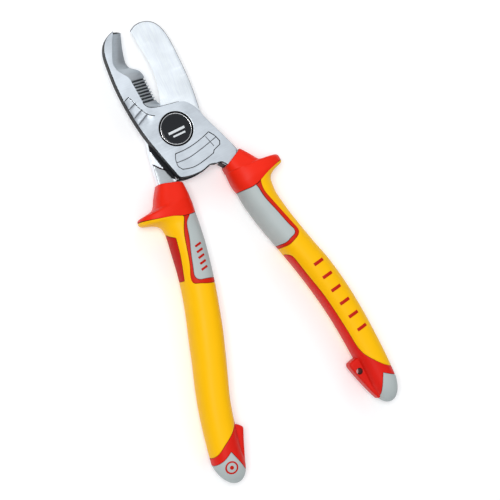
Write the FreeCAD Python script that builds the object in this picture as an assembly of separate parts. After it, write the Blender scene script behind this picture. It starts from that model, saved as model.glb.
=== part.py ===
import FreeCAD, Part
import os
from math import sin, cos, radians, sqrt, pi, hypot

# Cable cutter, 210 mm class, insulated grips.  Millimetres.
# Origin on the pivot axis in the shear plane, +Y along the tool to the jaws,
# +X to the side of the blade jaw, +Z out of the front (bolt head) side.

V = FreeCAD.Vector

# joint
plate = 6.0            # thickness of each forged half at the joint
skim = 0.04            # half of the running gap between the two halves
bore_r = 5.03          # pivot bore in both halves
shank_r = 5.0          # pivot bolt shank
sink_r = 7.9           # counterbore for the bolt head
sink_z = 2.9           # floor of that counterbore
head_r = 7.15
cap_r = 6.75           # inset cap of the bolt head
nut_af = 13.0          # nut across flats
nut_sink_r = 8.4
nut_z = -4.0           # floor of the counterbore for the nut
rim_r = 21.95          # lower rim of the hook half, about the pivot
back_rim_r = 22.5      # lower rim of the blade half
shoulder_r = 23.1      # from here out both tangs fill the full depth
tang_z = 5.0           # half depth of a tang beyond the shoulder

# grips
mirror_x = 4.4         # the two grips lie mirrored about this line
skin = 1.7             # thickness of the soft zones moulded over the core
proud = 0.25           # raised marks above the skin
flange = 3.6           # half thickness of the hook at the heel
tether_r = 1.5
tether_at = (34.3, -133.4)


def spl(pts, z=0.0):
    c = Part.BSplineCurve()
    c.interpolate([V(x, y, z) for x, y in pts])
    return c.toShape()


def wire(segs, z=0.0):
    """Closed wire: each segment starts where the last one ended; two points make a line."""
    edges, last, first = [], None, segs[0][0]
    for s in segs + [[first]]:
        pts = ([last] if last is not None and hypot(last[0] - s[0][0], last[1] - s[0][1]) > 1e-6
               else []) + list(s)
        if len(pts) == 2:
            edges.append(Part.makeLine(V(pts[0][0], pts[0][1], z), V(pts[1][0], pts[1][1], z)))
        elif len(pts) > 2:
            edges.append(spl(pts, z))
        last = pts[-1]
    return Part.Wire(edges)


def prism(segs, z0, z1):
    return Part.Face(wire(segs, z0)).extrude(V(0, 0, z1 - z0))


def poly(pts, z0, z1):
    w = Part.makePolygon([V(x, y, z0) for x, y in pts + [pts[0]]])
    return Part.Face(w).extrude(V(0, 0, z1 - z0))


def arc_pts(r, a0, a1, n=5):
    return [(r * cos(radians(a0 + (a1 - a0) * i / (n - 1))),
             r * sin(radians(a0 + (a1 - a0) * i / (n - 1)))) for i in range(n)]


def disc(r, z0, z1, x=0.0, y=0.0):
    return Part.makeCylinder(r, z1 - z0, V(x, y, z0))


def strip(p, q, width, z0, z1):
    """Straight bar from p to q."""
    dx, dy = q[0] - p[0], q[1] - p[1]
    n = hypot(dx, dy)
    ox, oy = -dy / n * width / 2, dx / n * width / 2
    return poly([(p[0] + ox, p[1] + oy), (p[0] - ox, p[1] - oy),
                 (q[0] - ox, q[1] - oy), (q[0] + ox, q[1] + oy)], z0, z1)


def soften(shape, edges, r):
    """Fillet if the kernel can, edge by edge if it cannot do all at once."""
    try:
        s = shape.makeFillet(r, edges)
        if s.isValid() and s.Volume > 0:
            return s
    except Exception:
        pass
    return shape


def biggest(shape):
    return max(shape.Solids, key=lambda s: s.Volume)


# ---------------------------------------------------------------- hook half
hook_outer = [(-8.8, 50.6), (-12.4, 49.1), (-15.8, 44.8), (-17.1, 37.0), (-17.4, 28.5),
              (-16.7, 17.0), (-14.8, 4.5), (-12.3, -4.9), (-9.4, -14.2), (-7.9, -18.8)]
hook_tip_low = [(-8.8, 50.6), (-6.5, 50.5), (-4.6, 49.4)]
hook_tip_top = [(-8.8, 50.6), (-9.2, 50.0), (-9.4, 49.2)]
# inner side of the hook jaw: in the shear plane, and on the front face
edge_low = [[(-4.6, 49.4), (-5.7, 46.2), (-6.9, 42.2), (-7.8, 38.3), (-7.9, 35.3), (-7.2, 33.5)],
            [(-7.2, 33.5), (-5.4, 32.2), (-3.9, 31.0), (-3.0, 29.2), (-2.6, 27.6)],
            [(-2.6, 27.6), (-1.9, 15.8)],
            [(-1.9, 15.8), (-1.4, 14.1), (-0.2, 12.9), (1.6, 12.1)]]
edge_top = [[(-9.4, 49.2), (-10.6, 47.4), (-12.3, 43.4), (-14.0, 39.4), (-14.6, 36.4), (-14.2, 34.0)],
            [(-14.2, 34.0), (-13.1, 32.3), (-11.6, 30.4), (-10.5, 28.7), (-10.2, 26.9)],
            [(-10.2, 26.9), (-9.1, 16.2)],
            [(-9.1, 16.2), (-8.2, 14.2), (-5.7, 12.7), (-2.9, 12.0)]]
serration_n = 8
serration_pitch = 1.45
serration_r = 0.62


def ring_of(inner, tip):
    """Outline of the hook half with the given inner edge and tip."""
    return inner + [[inner[-1][-1], (5.0, 11.1)],
                    [(5.0, 11.1), (7.6, 10.3), (10.0, 8.6), (11.7, 6.3), (13.0, 3.6)],
                    [(13.0, 3.6), (15.0, -1.7), (17.2, -6.8), (20.3, -14.0)],
                    [(20.3, -14.0), (22.1, -18.8)], [(22.1, -18.8), (18.0, -26.0)],
                    [(18.0, -26.0), (15.2, -23.6), (13.0, -21.3), (11.0, -21.2)],
                    [(11.0, -21.2)] + arc_pts(rim_r, -69, -104, 5),
                    [arc_pts(rim_r, -104, -104, 2)[0], (-6.9, -20.7), (-7.9, -18.8)],
                    hook_outer[::-1], tip]


def hook_half():
    low, top = ring_of(edge_low, hook_tip_low), ring_of(edge_top, hook_tip_top)
    body = Part.makeLoft([wire(low, skim), wire(top, plate)], True, True)
    # serrations run across the ground bevel
    for i in range(serration_n):
        y = 16.4 + serration_pitch * i
        a, b = V(-11.2, y, 6.9), V(-0.4, y, -1.15)
        body = body.cut(Part.makeCylinder(serration_r, (b - a).Length, a, b - a))
    # tang: full depth from the shoulder outwards
    tang = prism([[(13.2, -21.6), (22.1, -18.0)], [(22.1, -18.0), (24.2, -24.0), (26.0, -34.0),
                  (28.6, -48.0), (33.0, -64.0), (35.4, -72.0)], [(35.4, -72.0), (31.6, -73.2)],
                  [(31.6, -73.2), (26.6, -60.0), (21.6, -44.0), (18.4, -33.0), (17.0, -26.0)],
                  [(17.0, -26.0), (13.2, -21.6)]], -tang_z, tang_z)
    tang = tang.cut(disc(shoulder_r, -tang_z - 1, skim))
    body = body.fuse(tang).removeSplitter()
    body = body.cut(disc(bore_r, -1, 7)).cut(disc(sink_r, sink_z, 7))
    body = panels(body)
    return biggest(body)


def panels(body):
    """Shallow forged recesses on the front face: arc panel below the pivot, ladder at the jaw root."""
    d = 0.3
    arc = prism([[(-4.8, -10.2), (0.0, -10.1), (5.1, -9.3), (13.1, -6.8)],
                 [(13.1, -6.8), (15.0, -9.3), (16.2, -12.4)], [(16.2, -12.4), (15.6, -13.9)],
                 [(15.6, -13.9), (12.2, -15.2)], [(12.2, -15.2), (11.4, -16.4)],
                 [(11.4, -16.4), (5.1, -18.1), (0.0, -18.7), (-4.6, -17.8)],
                 [(-4.6, -17.8), (-6.0, -15.9)], [(-6.0, -15.9), (-5.8, -12.6), (-4.8, -10.2)]],
                plate - d, plate + 1)
    body = body.cut(arc)
    inner = Part.Wire([spl([(-5.6, -14.15), (0.0, -14.1), (5.1, -13.1), (10.0, -11.8), (15.3, -10.2)])])
    pts = [inner.Edges[0].valueAt(inner.Edges[0].FirstParameter +
           (inner.Edges[0].LastParameter - inner.Edges[0].FirstParameter) * k / 6) for k in range(7)]
    for p, q in zip(pts, pts[1:]):
        body = body.cut(strip((p.x, p.y), (q.x, q.y), 0.35, plate - d - 0.15, plate))
    body = body.cut(strip((11.0, -8.2), (12.9, -13.6), 0.35, plate - d - 0.15, plate))
    ladder = prism([[(-18.5, 19.2), (-14.3, 20.8)],
                    [(-14.3, 20.8), (-13.3, 18.7), (-12.3, 15.8), (-10.8, 12.8), (-9.0, 10.4),
                     (-6.6, 8.9)], [(-6.6, 8.9), (-12.6, 4.9)], [(-12.6, 4.9), (-17.0, 4.0)]],
                   plate - d, plate + 1)
    for p, q in (((-12.3, 17.4), (-18.5, 14.7)), ((-10.9, 13.6), (-17.6, 10.2)),
                 ((-9.3, 11.0), (-16.8, 6.8))):
        ladder = ladder.cut(strip(p, q, 0.55, plate - 2, plate + 2))
    return body.cut(ladder)


# --------------------------------------------------------------- blade half
blade_back = [(15.0, 4.0), (15.8, 13.0), (16.0, 24.0), (15.6, 33.0), (14.7, 41.8), (12.6, 47.2),
              (9.4, 50.0), (5.8, 50.9)]
tip_low = [(5.8, 50.9), (2.6, 50.4), (-0.3, 48.7)]
tip_back = [(5.8, 50.9), (5.0, 49.4), (4.6, 47.3)]
blade_edge = [(-0.3, 48.7), (1.0, 40.5), (2.1, 32.0), (1.6, 23.0), (-0.1, 15.0)]
blade_edge_back = [(4.6, 47.3), (6.9, 40.2), (8.0, 32.0), (7.6, 23.0), (6.2, 15.6)]
heel_low = [(-0.1, 15.0), (-1.2, 12.8), (-3.2, 12.0)]
heel_back = [(6.2, 15.6), (3.6, 13.0), (-3.2, 12.0)]


def blade_half():
    def ring(edge, heel, tip, z):
        left = arc_pts(13.0, 125, 180, 5)
        e = [spl(blade_back, z), spl(tip, z), spl(edge, z), spl(heel, z),
             spl([heel[-1]] + left, z),
             spl([left[-1], (-13.9, -4.0), (-14.9, -10.4), (-15.9, -17.9)], z),
             Part.makeLine(V(-15.9, -17.9, z), V(-16.4, -22.0, z)),
             Part.makeLine(V(-16.4, -22.0, z), V(-8.6, -24.5, z)),
             Part.makeLine(V(-8.6, -24.5, z), V(*arc_pts(back_rim_r, -110, -50)[0], z)),
             spl(arc_pts(back_rim_r, -110, -50), z),
             spl([arc_pts(back_rim_r, -110, -50)[-1], (16.4, -11.0), (16.0, -3.0), (15.0, 4.0)], z)]
        return Part.Wire(e)
    low = ring(blade_edge, heel_low, tip_low, -skim)
    back = ring(blade_edge_back, heel_back, tip_back, -plate)
    body = Part.makeLoft([back, low], True, True)
    # the left shoulder is relieved a little outside the contact area of the joint
    relief = disc(40, -0.7, 1).cut(disc(18.2, -1, 2))
    relief = relief.common(poly([(-30, -5), (-30, -40), (-10.5, -40), (-10.5, -13.5)], -2, 2))
    tang = prism([[(-17.2, -20.0), (-7.8, -23.0)], [(-7.8, -23.0), (-9.2, -34.0), (-11.5, -46.0),
                  (-14.0, -58.0), (-18.0, -74.0)], [(-18.0, -74.0), (-22.0, -73.4)],
                  [(-22.0, -73.4), (-20.6, -60.0), (-19.8, -46.0), (-18.4, -32.0), (-17.2, -20.0)]],
                 -tang_z, tang_z)
    tang = tang.cut(disc(shoulder_r, -skim, tang_z + 1))
    body = body.cut(relief).fuse(tang).removeSplitter()
    body = body.cut(disc(bore_r, -7, 1)).cut(disc(nut_sink_r, -7, nut_z))
    return biggest(body)


# -------------------------------------------------------------------- pivot
def pivot_bolt():
    bolt = disc(shank_r, -7.2, sink_z + 0.1).fuse(disc(head_r, sink_z, plate - 0.25))
    bolt = bolt.cut(disc(cap_r + 0.05, plate - 1.1, plate + 1))
    bolt = soften(bolt, [e for e in bolt.Edges if abs(e.BoundBox.ZMax + 7.2) < 1e-6], 0.5)
    rim = [e for e in bolt.Edges if abs(e.BoundBox.ZMin - (plate - 0.25)) < 1e-6]
    return soften(bolt, rim, 0.12).removeSplitter()


def cap_profile(top):
    return disc(cap_r, plate - 1.1, top)


def pivot_cap():
    body = cap_profile(plate - 0.3)
    return soften(body, [e for e in body.Edges if abs(e.BoundBox.ZMin - (plate - 0.3)) < 1e-6], 0.35)


def pivot_cap_mark():
    """Two plain bars stand in for the print on the cap."""
    z0, z1 = plate - 0.3, plate - 0.22
    bars = [strip((-4.1, -1.0), (3.9, -0.5), 1.1, z0, z1), strip((-2.6, -2.9), (3.4, -2.6), 0.8, z0, z1)]
    return Part.makeCompound(bars)


def pivot_nut():
    r = nut_af / sqrt(3)
    hexagon = poly([(r * cos(pi / 3 * i), r * sin(pi / 3 * i)) for i in range(6)], -7.4, nut_z - 0.05)
    cone = Part.makeCone(r - 0.9, r + 2.6, 3.5, V(0, 0, -7.4), V(0, 0, 1))
    return hexagon.common(cone).cut(disc(shank_r, -8, -3))


# -------------------------------------------------------------------- grips
# rows: y, inner x, outer x, half depth; x is measured as on the right-hand grip
body_rows = {
    "hook": [(-17, 15.0, 23.8, 5.6), (-21, 14.6, 25.2, 6.2), (-25, 14.6, 27.5, 7.0),
             (-30, 14.9, 30.0, 7.9), (-36, 15.5, 31.7, 8.5), (-42, 16.2, 31.9, 8.8),
             (-50, 17.9, 33.2, 9.1), (-60, 20.8, 35.8, 9.3), (-70, 24.0, 38.8, 9.5),
             (-80, 27.0, 42.1, 9.5), (-90, 29.6, 44.6, 9.4), (-100, 31.8, 46.4, 9.2),
             (-110, 33.5, 47.7, 9.0), (-120, 34.7, 48.6, 8.8), (-130, 35.6, 49.3, 8.6)],
    "blade": [(-17, 17.0, 23.5, 5.6), (-21, 16.2, 26.5, 6.2), (-25, 15.3, 28.8, 7.0),
              (-30, 15.1, 30.9, 7.9), (-36, 15.1, 31.6, 8.5), (-42, 15.2, 31.2, 8.8),
              (-50, 16.0, 32.0, 9.1), (-60, 17.6, 33.2, 9.3), (-70, 19.6, 35.1, 9.5),
              (-80, 22.0, 37.7, 9.5), (-90, 24.6, 40.7, 9.4), (-100, 27.7, 43.5, 9.2),
              (-110, 31.0, 46.6, 9.0), (-120, 34.3, 49.2, 8.8), (-130, 36.6, 51.2, 8.6)]}
neck_rows = {          # the last value squares the section off
    "hook": [(-16.0, 14.6, 21.2, 6.6, 3.4), (-20.0, 14.3, 25.0, 7.2, 3.4), (-24.0, 14.2, 28.3, 7.9, 3.2),
             (-26.3, 14.3, 30.2, 8.4, 3.0), (-26.9, 14.3, 31.8, 8.6, 2.9), (-27.2, 14.4, 36.0, 8.9, 2.7),
             (-27.7, 14.4, 38.8, 9.2, 2.6), (-28.7, 14.4, 39.8, 9.4, 2.6), (-31.2, 14.5, 40.1, 9.6, 2.6),
             (-32.0, 14.5, 39.7, 9.6, 2.6), (-33.0, 14.6, 37.2, 9.5, 2.6), (-34.2, 14.8, 34.6, 9.3, 2.5),
             (-35.6, 15.1, 32.8, 8.9, 2.4), (-37.6, 16.4, 31.9, 8.3, 2.3), (-42.0, 18.4, 30.4, 6.6, 2.3)],
    "blade": [(-17.0, 16.6, 24.4, 6.8, 3.4), (-20.5, 15.7, 26.7, 7.3, 3.4), (-24.5, 14.9, 29.3, 8.0, 3.2),
              (-28.0, 14.6, 31.2, 8.7, 2.9), (-29.4, 14.5, 32.6, 9.0, 2.7), (-30.2, 14.5, 36.2, 9.3, 2.6),
              (-30.7, 14.5, 39.4, 9.5, 2.6), (-31.5, 14.5, 40.4, 9.6, 2.6), (-33.1, 14.5, 40.6, 9.6, 2.6),
              (-34.1, 14.6, 39.9, 9.5, 2.6), (-35.0, 14.7, 37.6, 9.4, 2.6), (-35.9, 14.8, 34.8, 9.2, 2.5),
              (-37.2, 15.4, 32.8, 8.8, 2.4), (-39.0, 16.6, 31.5, 8.2, 2.3), (-42.6, 17.8, 29.6, 6.6, 2.3)]}
seam_deg = 55.0        # the arcs of each section meet here, clear of every zone's edge
dome = {"hook": (-140.0, 36.4, 49.6, 8.4, 43.3, 12.2), "blade": (-143.5, 38.9, 53.4, 8.4, 45.6, 12.1)}
collar_top = {"hook": [(13.0, -24.6), (24.6, -18.3)], "blade": [(15.4, -22.6), (27.0, -19.4)]}


def section(cx, a, b, y, n=2.3):
    """Closed superellipse in a plane across the grip, as an outer and an inner arc of one curve."""
    pts = []
    for deg in [-seam_deg + seam_deg * i / 3 for i in range(6)] + \
               [seam_deg + (360 - 2 * seam_deg) * i / 12 for i in range(12)]:
        c, s = cos(radians(deg)), sin(radians(deg))
        pts.append(V(cx + a * abs(c) ** (2 / n) * (1 if c > 0 else -1), y,
                     b * abs(s) ** (2 / n) * (1 if s > 0 else -1)))
    curve = Part.BSplineCurve()
    curve.interpolate(pts, PeriodicFlag=True)
    um = curve.parameter(pts[6])
    arcs = []
    for start, end, count in ((curve.FirstParameter, um, 9), (um, curve.LastParameter, 15)):
        arc = Part.BSplineCurve()
        arc.interpolate([curve.value(start + (end - start) * i / (count - 1.0)) for i in range(count)])
        arcs.append(arc.toShape())
    return Part.Wire(arcs)


def grip_solid(side, grow=0.0):
    ws = [section((i + o) / 2, (o - i) / 2 + grow, b + grow, y) for y, i, o, b in body_rows[side]]
    y0, i, o, b, ex, length = dome[side]
    for t in (0.0, 0.4, 0.66, 0.84, 0.94, 0.985):
        k = sqrt(1 - t * t)
        cx = (i + o) / 2 + (ex - (i + o) / 2) * t
        ws.append(section(cx, ((o - i) / 2 + grow) * k, (b + grow) * k, y0 - (length + grow) * t))
    return Part.makeLoft(ws, True, False)


def neck_solid(side):
    """Collar with its outward finger guard, flared all round above the grip."""
    return Part.makeLoft([section((i + o) / 2, (o - i) / 2, b, y, n) for y, i, o, b, n in neck_rows[side]],
                         True, True)


def centre(side, y):
    rows = body_rows[side]
    for p, q in zip(rows, rows[1:]):
        if p[0] >= y >= q[0]:
            t = (p[0] - y) / (p[0] - q[0])
            return (p[1] + p[2]) / 2 * (1 - t) + (q[1] + q[2]) / 2 * t
    return (rows[-1][1] + rows[-1][2]) / 2 + (rows[-1][0] - y) * 0.08


def along(side, pts):
    """Points given as (offset from the centre line, y)."""
    return [(centre(side, y) + o, y) for o, y in pts]


guard_line = {         # where the collar stops on the faces of the grip
    "hook": [(46.0, -29.5), (39.6, -30.9), (35.7, -31.9), (31.1, -33.4), (27.0, -35.3),
             (23.1, -36.9), (18.4, -37.3), (10.0, -37.0)],
    "blade": [(46.0, -30.9), (40.2, -32.2), (36.2, -33.2), (29.1, -34.7), (25.5, -35.6),
              (22.4, -36.8), (18.4, -37.5), (10.0, -37.0)]}
inlay_edge = {         # offset outward from the centre line, and height
    "hook": [(-1.6, -36.0), (-0.5, -37.9), (-0.2, -40.5), (0.1, -44.5), (1.0, -50.0), (1.4, -56.0),
             (1.9, -60.5), (2.0, -62.3), (1.2, -63.6), (-1.8, -64.9), (-4.4, -66.0), (-7.0, -66.2)],
    "blade": [(-6.0, -36.0), (-3.6, -38.2), (-1.7, -39.9), (-0.8, -41.9), (-0.1, -47.0), (1.0, -52.0),
              (1.7, -56.5), (2.3, -61.0), (2.1, -64.0), (1.1, -65.2), (-1.9, -66.2), (-7.0, -67.3)]}
frame_edge = {
    "hook": [(2.9, -34.5), (1.8, -37.9), (1.6, -40.3), (2.2, -44.5), (3.1, -50.0), (3.6, -56.0),
             (4.0, -60.8), (3.7, -63.3), (1.8, -65.1), (-1.2, -66.5), (-4.6, -67.7), (-7.5, -67.8)],
    "blade": [(-1.6, -35.0), (-1.1, -37.9), (-0.1, -39.9), (1.5, -43.9), (2.2, -48.0), (2.9, -55.0),
              (3.7, -60.0), (4.2, -64.2), (3.7, -65.9), (0.9, -67.2), (-2.6, -68.5), (-7.5, -69.6)]}
outer_edge = {
    "hook": [(6.9, -44.2), (7.1, -48.0), (7.2, -62.6)],
    "blade": [(5.5, -44.6), (5.8, -51.0), (6.7, -63.8)]}
heel_edge = {
    "hook": [(-7.6, -71.1), (-6.5, -72.6), (-6.25, -75.0), (-6.35, -83.0), (-5.9, -94.0), (-5.6, -105.0),
             (-5.2, -117.0), (-4.9, -122.6), (-3.9, -126.6), (-1.5, -130.4), (2.0, -134.3), (5.2, -136.5),
             (9.0, -138.0)],
    "blade": [(-7.65, -71.3), (-7.5, -75.0), (-7.65, -90.0), (-7.6, -106.0), (-7.3, -119.0), (-7.1, -126.5),
              (-6.4, -130.4), (-4.6, -132.9), (-1.3, -135.6), (2.2, -138.1), (5.2, -140.1), (9.0, -140.9)]}
tip_edge = {
    "hook": [[(42.9, -137.9), (41.1, -141.6), (39.3, -145.7)], [(39.3, -145.7), (37.9, -147.8), (35.2, -148.0)],
             [(42.9, -137.9), (45.6, -139.6), (52.0, -142.8)]],
    "blade": [[(44.6, -141.0), (43.0, -145.2), (41.6, -149.0)], [(41.6, -149.0), (40.4, -151.6), (37.5, -152.8)],
              [(44.6, -141.0), (49.2, -143.4), (56.0, -144.5)]]}


def above_line(side):
    g = guard_line[side]
    return prism([g, [g[-1], (10.0, 0.0)], [(10.0, 0.0), (46.0, 0.0)], [(46.0, 0.0), g[0]]], -14, 14)


def face_zone(edge, top, bottom):
    """Region on the pivot side of an edge that runs down the face of the grip."""
    return prism([edge, [edge[-1], (8.0, bottom)], [(8.0, bottom), (8.0, top)], [(8.0, top), edge[0]]], -14, 14)


def outer_zone(side):
    e = along(side, outer_edge[side])
    return prism([e, [e[-1], (50.0, e[-1][1] + 0.6)], [(50.0, e[-1][1] + 0.6), (50.0, -41.0)],
                  [(50.0, -41.0), (e[0][0] + 2.4, -42.0)], [(e[0][0] + 2.4, -42.0), e[0]]], -14, 14)


def heel_zone(side):
    e = along(side, heel_edge[side])
    return prism([e, [e[-1], (70.0, e[-1][1] - 0.6)], [(70.0, e[-1][1] - 0.6), (70.0, -170.0)],
                  [(70.0, -170.0), (10.0, -170.0)], [(10.0, -170.0), (10.0, -71.0)],
                  [(10.0, -71.0), e[0]]], -14, 14)


def tip_zone(side):
    a, c, b = tip_edge[side]
    return prism([a, c, [c[-1], (30.0, -170.0)], [(30.0, -170.0), (70.0, -170.0)],
                  [(70.0, -170.0), b[-1]], b[::-1]], -14, 14)


def hook_flange(side):
    if side == "hook":
        s = prism([[(36.6, -127.2), (34.4, -127.5), (33.2, -127.8), (31.9, -128.2)],
                   [(31.9, -128.2), (31.2, -129.0), (31.1, -130.0)],
                   [(31.1, -130.0), (31.8, -132.5), (33.8, -138.5), (35.8, -143.8), (37.8, -148.3)],
                   [(37.8, -148.3), (44.0, -147.0)], [(44.0, -147.0), (44.0, -127.4)],
                   [(44.0, -127.4), (36.6, -127.2)]], -flange, flange)
    else:
        s = prism([[(39.0, -130.6), (37.1, -131.1), (35.8, -131.8), (34.6, -133.0)],
                   [(34.6, -133.0), (34.2, -133.9), (34.4, -134.8)],
                   [(34.4, -134.8), (36.2, -139.3), (38.2, -144.7), (40.5, -151.0)],
                   [(40.5, -151.0), (46.0, -150.6)], [(46.0, -150.6), (46.0, -130.8)],
                   [(46.0, -130.8), (39.0, -130.6)]], -flange, flange)
    lip = [e for e in s.Edges if abs(e.BoundBox.ZLength) < 1e-6 and e.BoundBox.XMin < 36.0
           and e.BoundBox.XMax < 40.0]
    return soften(s, lip, 1.2)


def bars(side):
    """Plain raised bars in place of the lettering on the long face."""
    out = []
    for k in range(6):
        y = -80.0 - 7.0 * k
        x = 34.9 + (-78.1 - y) * 0.193
        u = (sin(radians(10.9)), -cos(radians(10.9)))
        n = (-u[1], u[0])
        h = 2.5
        out.append(strip((x - n[0] * h, y - n[1] * h), (x + n[0] * h, y + n[1] * h), 1.5, 0, 14))
    return out


def ticks(side):
    """Five short raised ticks in place of the rating on the inner inlay."""
    out = []
    for k in range(5):
        y = -51.2 - 2.65 * k
        x = centre(side, y) - 2.9
        z0, z1 = (0, 14) if side == "blade" else (-14, 0)
        out.append(strip((x - 1.6, y + 0.35), (x + 1.6, y - 0.35), 1.0, z0, z1))
    return out


def tip_mark():
    """Plain ring segment and dot in place of the symbol on the end cap."""
    x, y = 2 * mirror_x + 38.3, -147.4
    ring = disc(2.9, 0, 14, x, y).cut(disc(2.2, 0, 14, x, y))
    return [ring, disc(0.9, 0, 14, x, y)]


def raised(side, tools):
    shell = grip_solid(side, proud).cut(grip_solid(side, -0.3))
    s = None
    for t in tools:
        c = shell.common(t)
        s = c if s is None else s.fuse(c)
    return s


def grip(side, tang):
    """All pieces of one grip: a stiff core, and soft zones moulded into its skin."""
    whole, inside, above = grip_solid(side), grip_solid(side, -skin), above_line(side)
    (x0, y0), (x1, y1) = collar_top[side]
    slope = (y1 - y0) / (x1 - x0)
    keep = poly([(0.0, y0 - x0 * slope), (60.0, y0 + (60.0 - x0) * slope), (60.0, -175.0),
                 (0.0, -175.0)], -16, 16)
    shell, neck = whole.cut(inside), neck_solid(side)
    collar = neck.common(above).common(keep).cut(inside)
    below = shell.cut(above)
    inlay_cut = face_zone(along(side, inlay_edge[side]), -35.8, -67.6)
    frame_cut = face_zone(along(side, frame_edge[side]), -34.4, -69.9)
    heel_cut, tip_cut = heel_zone(side), tip_zone(side)
    inlay = below.common(inlay_cut)
    frame = below.common(frame_cut.cut(inlay_cut))
    outer = below.common(outer_zone(side))
    tip = below.common(tip_cut)
    heel = below.common(heel_cut.cut(tip_cut)).fuse(hook_flange(side).cut(whole))
    if side == "hook":
        heel = heel.cut(disc(tether_r, -10, 10, *tether_at))
    yellow = below.cut(frame_cut).cut(outer_zone(side)).cut(heel_cut)
    core = inside.common(keep).fuse(yellow).fuse(neck.cut(above).cut(whole))
    out = {"grip_core": core, "collar": collar, "inlay_frame": frame, "inner_inlay": inlay,
           "outer_inlay": outer, "heel": heel, "tip_cap": tip}
    if side == "hook":
        out["face_bars"] = raised(side, bars(side))
        out["grip_core"] = core.cut(out["face_bars"])
    else:
        out["tip_mark"] = raised(side, tip_mark())
        out["tip_cap"] = tip.cut(out["tip_mark"])
    out["rating_ticks"] = raised(side, ticks(side))
    out["inner_inlay"] = inlay.cut(out["rating_ticks"])
    if side == "blade":
        out = {k: s.mirror(V(mirror_x, 0, 0), V(1, 0, 0)) for k, s in out.items()}
    for k in ("grip_core", "collar"):
        out[k] = biggest(out[k].cut(tang))
    return out


def save(name, shape):
    shape = shape.removeSplitter() if shape.Solids else shape
    solids = shape.Solids
    b = shape.BoundBox
    print("%-20s %2d solids valid %s vol %9.1f  x %.1f %.1f y %.1f %.1f z %.1f %.1f" % (
        name, len(solids), shape.isValid(), shape.Volume, b.XMin, b.XMax, b.YMin, b.YMax, b.ZMin, b.ZMax))
    shape.exportStep("parts/" + name + ".step")


os.makedirs("parts", exist_ok=True)
hook, blade = hook_half(), blade_half()
save("hook_half", hook)
save("blade_half", blade)
save("pivot_bolt", pivot_bolt())
save("pivot_cap", pivot_cap())
save("pivot_cap_mark", pivot_cap_mark())
save("pivot_nut", pivot_nut())
for side, steel in (("hook", hook), ("blade", blade)):
    for name, shape in grip(side, steel).items():
        save(side + "_" + name, shape)
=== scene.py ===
from math import cos, pi, radians, sin

import bmesh
import bpy
import numpy as np
from mathutils import Matrix, Vector
from mathutils.geometry import delaunay_2d_cdt


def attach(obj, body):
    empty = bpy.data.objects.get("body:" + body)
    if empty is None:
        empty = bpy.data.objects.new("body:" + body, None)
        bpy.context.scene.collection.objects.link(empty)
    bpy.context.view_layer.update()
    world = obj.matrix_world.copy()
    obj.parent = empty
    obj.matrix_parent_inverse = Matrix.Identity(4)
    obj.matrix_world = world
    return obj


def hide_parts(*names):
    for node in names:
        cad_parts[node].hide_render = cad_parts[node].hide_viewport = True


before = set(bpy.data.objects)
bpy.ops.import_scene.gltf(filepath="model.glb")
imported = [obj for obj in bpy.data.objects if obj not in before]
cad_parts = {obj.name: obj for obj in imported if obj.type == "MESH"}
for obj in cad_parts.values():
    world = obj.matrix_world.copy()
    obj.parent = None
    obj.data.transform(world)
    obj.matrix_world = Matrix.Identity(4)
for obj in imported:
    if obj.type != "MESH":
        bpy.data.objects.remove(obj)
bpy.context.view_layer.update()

# Lengths are millimetres up to Build.make, which turns them into metres.
MM = 0.001
CHUNK = 2000                         # points per distance calculation
ROW = 0.866                          # row spacing of a triangular lattice
NEAR = 0.06                          # points nearer than this are merged
RIM_STEPS = (0.1, 0.3, 0.6, 1.05)    # rings beside a rounded edge, in radii

# ------------------------------------------------------------------ curves


def cubic(t, y, ts):
    """Natural cubic through the points y at the values t."""
    t, y = np.asarray(t, float), np.asarray(y, float)
    h, n = np.diff(t), len(t)
    A, b = np.eye(n), np.zeros(y.shape)
    for i in range(1, n - 1):
        A[i, i - 1:i + 2] = h[i - 1], 2 * (h[i - 1] + h[i]), h[i]
        b[i] = 6 * ((y[i + 1] - y[i]) / h[i] - (y[i] - y[i - 1]) / h[i - 1])
    M = np.linalg.solve(A, b)
    k = np.clip(np.searchsorted(t, ts) - 1, 0, n - 2)
    s = np.asarray(ts - t[k])
    hk = h[k]
    if y.ndim > 1:
        s, hk = s[:, None], hk[:, None]
    c1 = (y[k + 1] - y[k]) / hk - hk * (2 * M[k] + M[k + 1]) / 6
    return y[k] + s * (c1 + s * (M[k] / 2 + s * (M[k + 1] - M[k]) / (6 * hk)))


def pchip(t, y, ts):
    """Cubic through the points that never overshoots them."""
    t, y = np.asarray(t, float), np.asarray(y, float)
    h = np.diff(t)
    d = np.diff(y) / h
    m = np.zeros(len(t))
    m[1:-1] = np.where(d[:-1] * d[1:] > 0, 2 * d[:-1] * d[1:] / (d[:-1] + d[1:] + 1e-12), 0)
    m[0], m[-1] = d[0], d[-1]
    k = np.clip(np.searchsorted(t, ts) - 1, 0, len(t) - 2)
    u = (ts - t[k]) / h[k]
    return (y[k] * (1 + 2 * u) * (1 - u) ** 2 + m[k] * h[k] * u * (1 - u) ** 2
            + y[k + 1] * u * u * (3 - 2 * u) + m[k + 1] * h[k] * u * u * (u - 1))


def spl(pts, step=0.5, n=None):
    """Smooth line through the points, sampled every `step` or n times."""
    p = np.array(pts, float)
    t = np.r_[0, np.cumsum(np.hypot(*np.diff(p, axis=0).T))]
    n = n or max(2, int(round(t[-1] / step)) + 1)
    if len(p) == 2:
        return p[0] + (p[1] - p[0]) * np.linspace(0, 1, n)[:, None]
    return cubic(t, p, np.linspace(0, t[-1], n))


def arc(r, a0, a1, n=24, x=0.0, y=0.0):
    a = np.radians(np.linspace(a0, a1, n))
    return np.c_[x + r * np.cos(a), y + r * np.sin(a)]


def circle(r, n, x, y):
    return arc(r, 0, 360, n + 1, x, y)[:-1]


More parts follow.
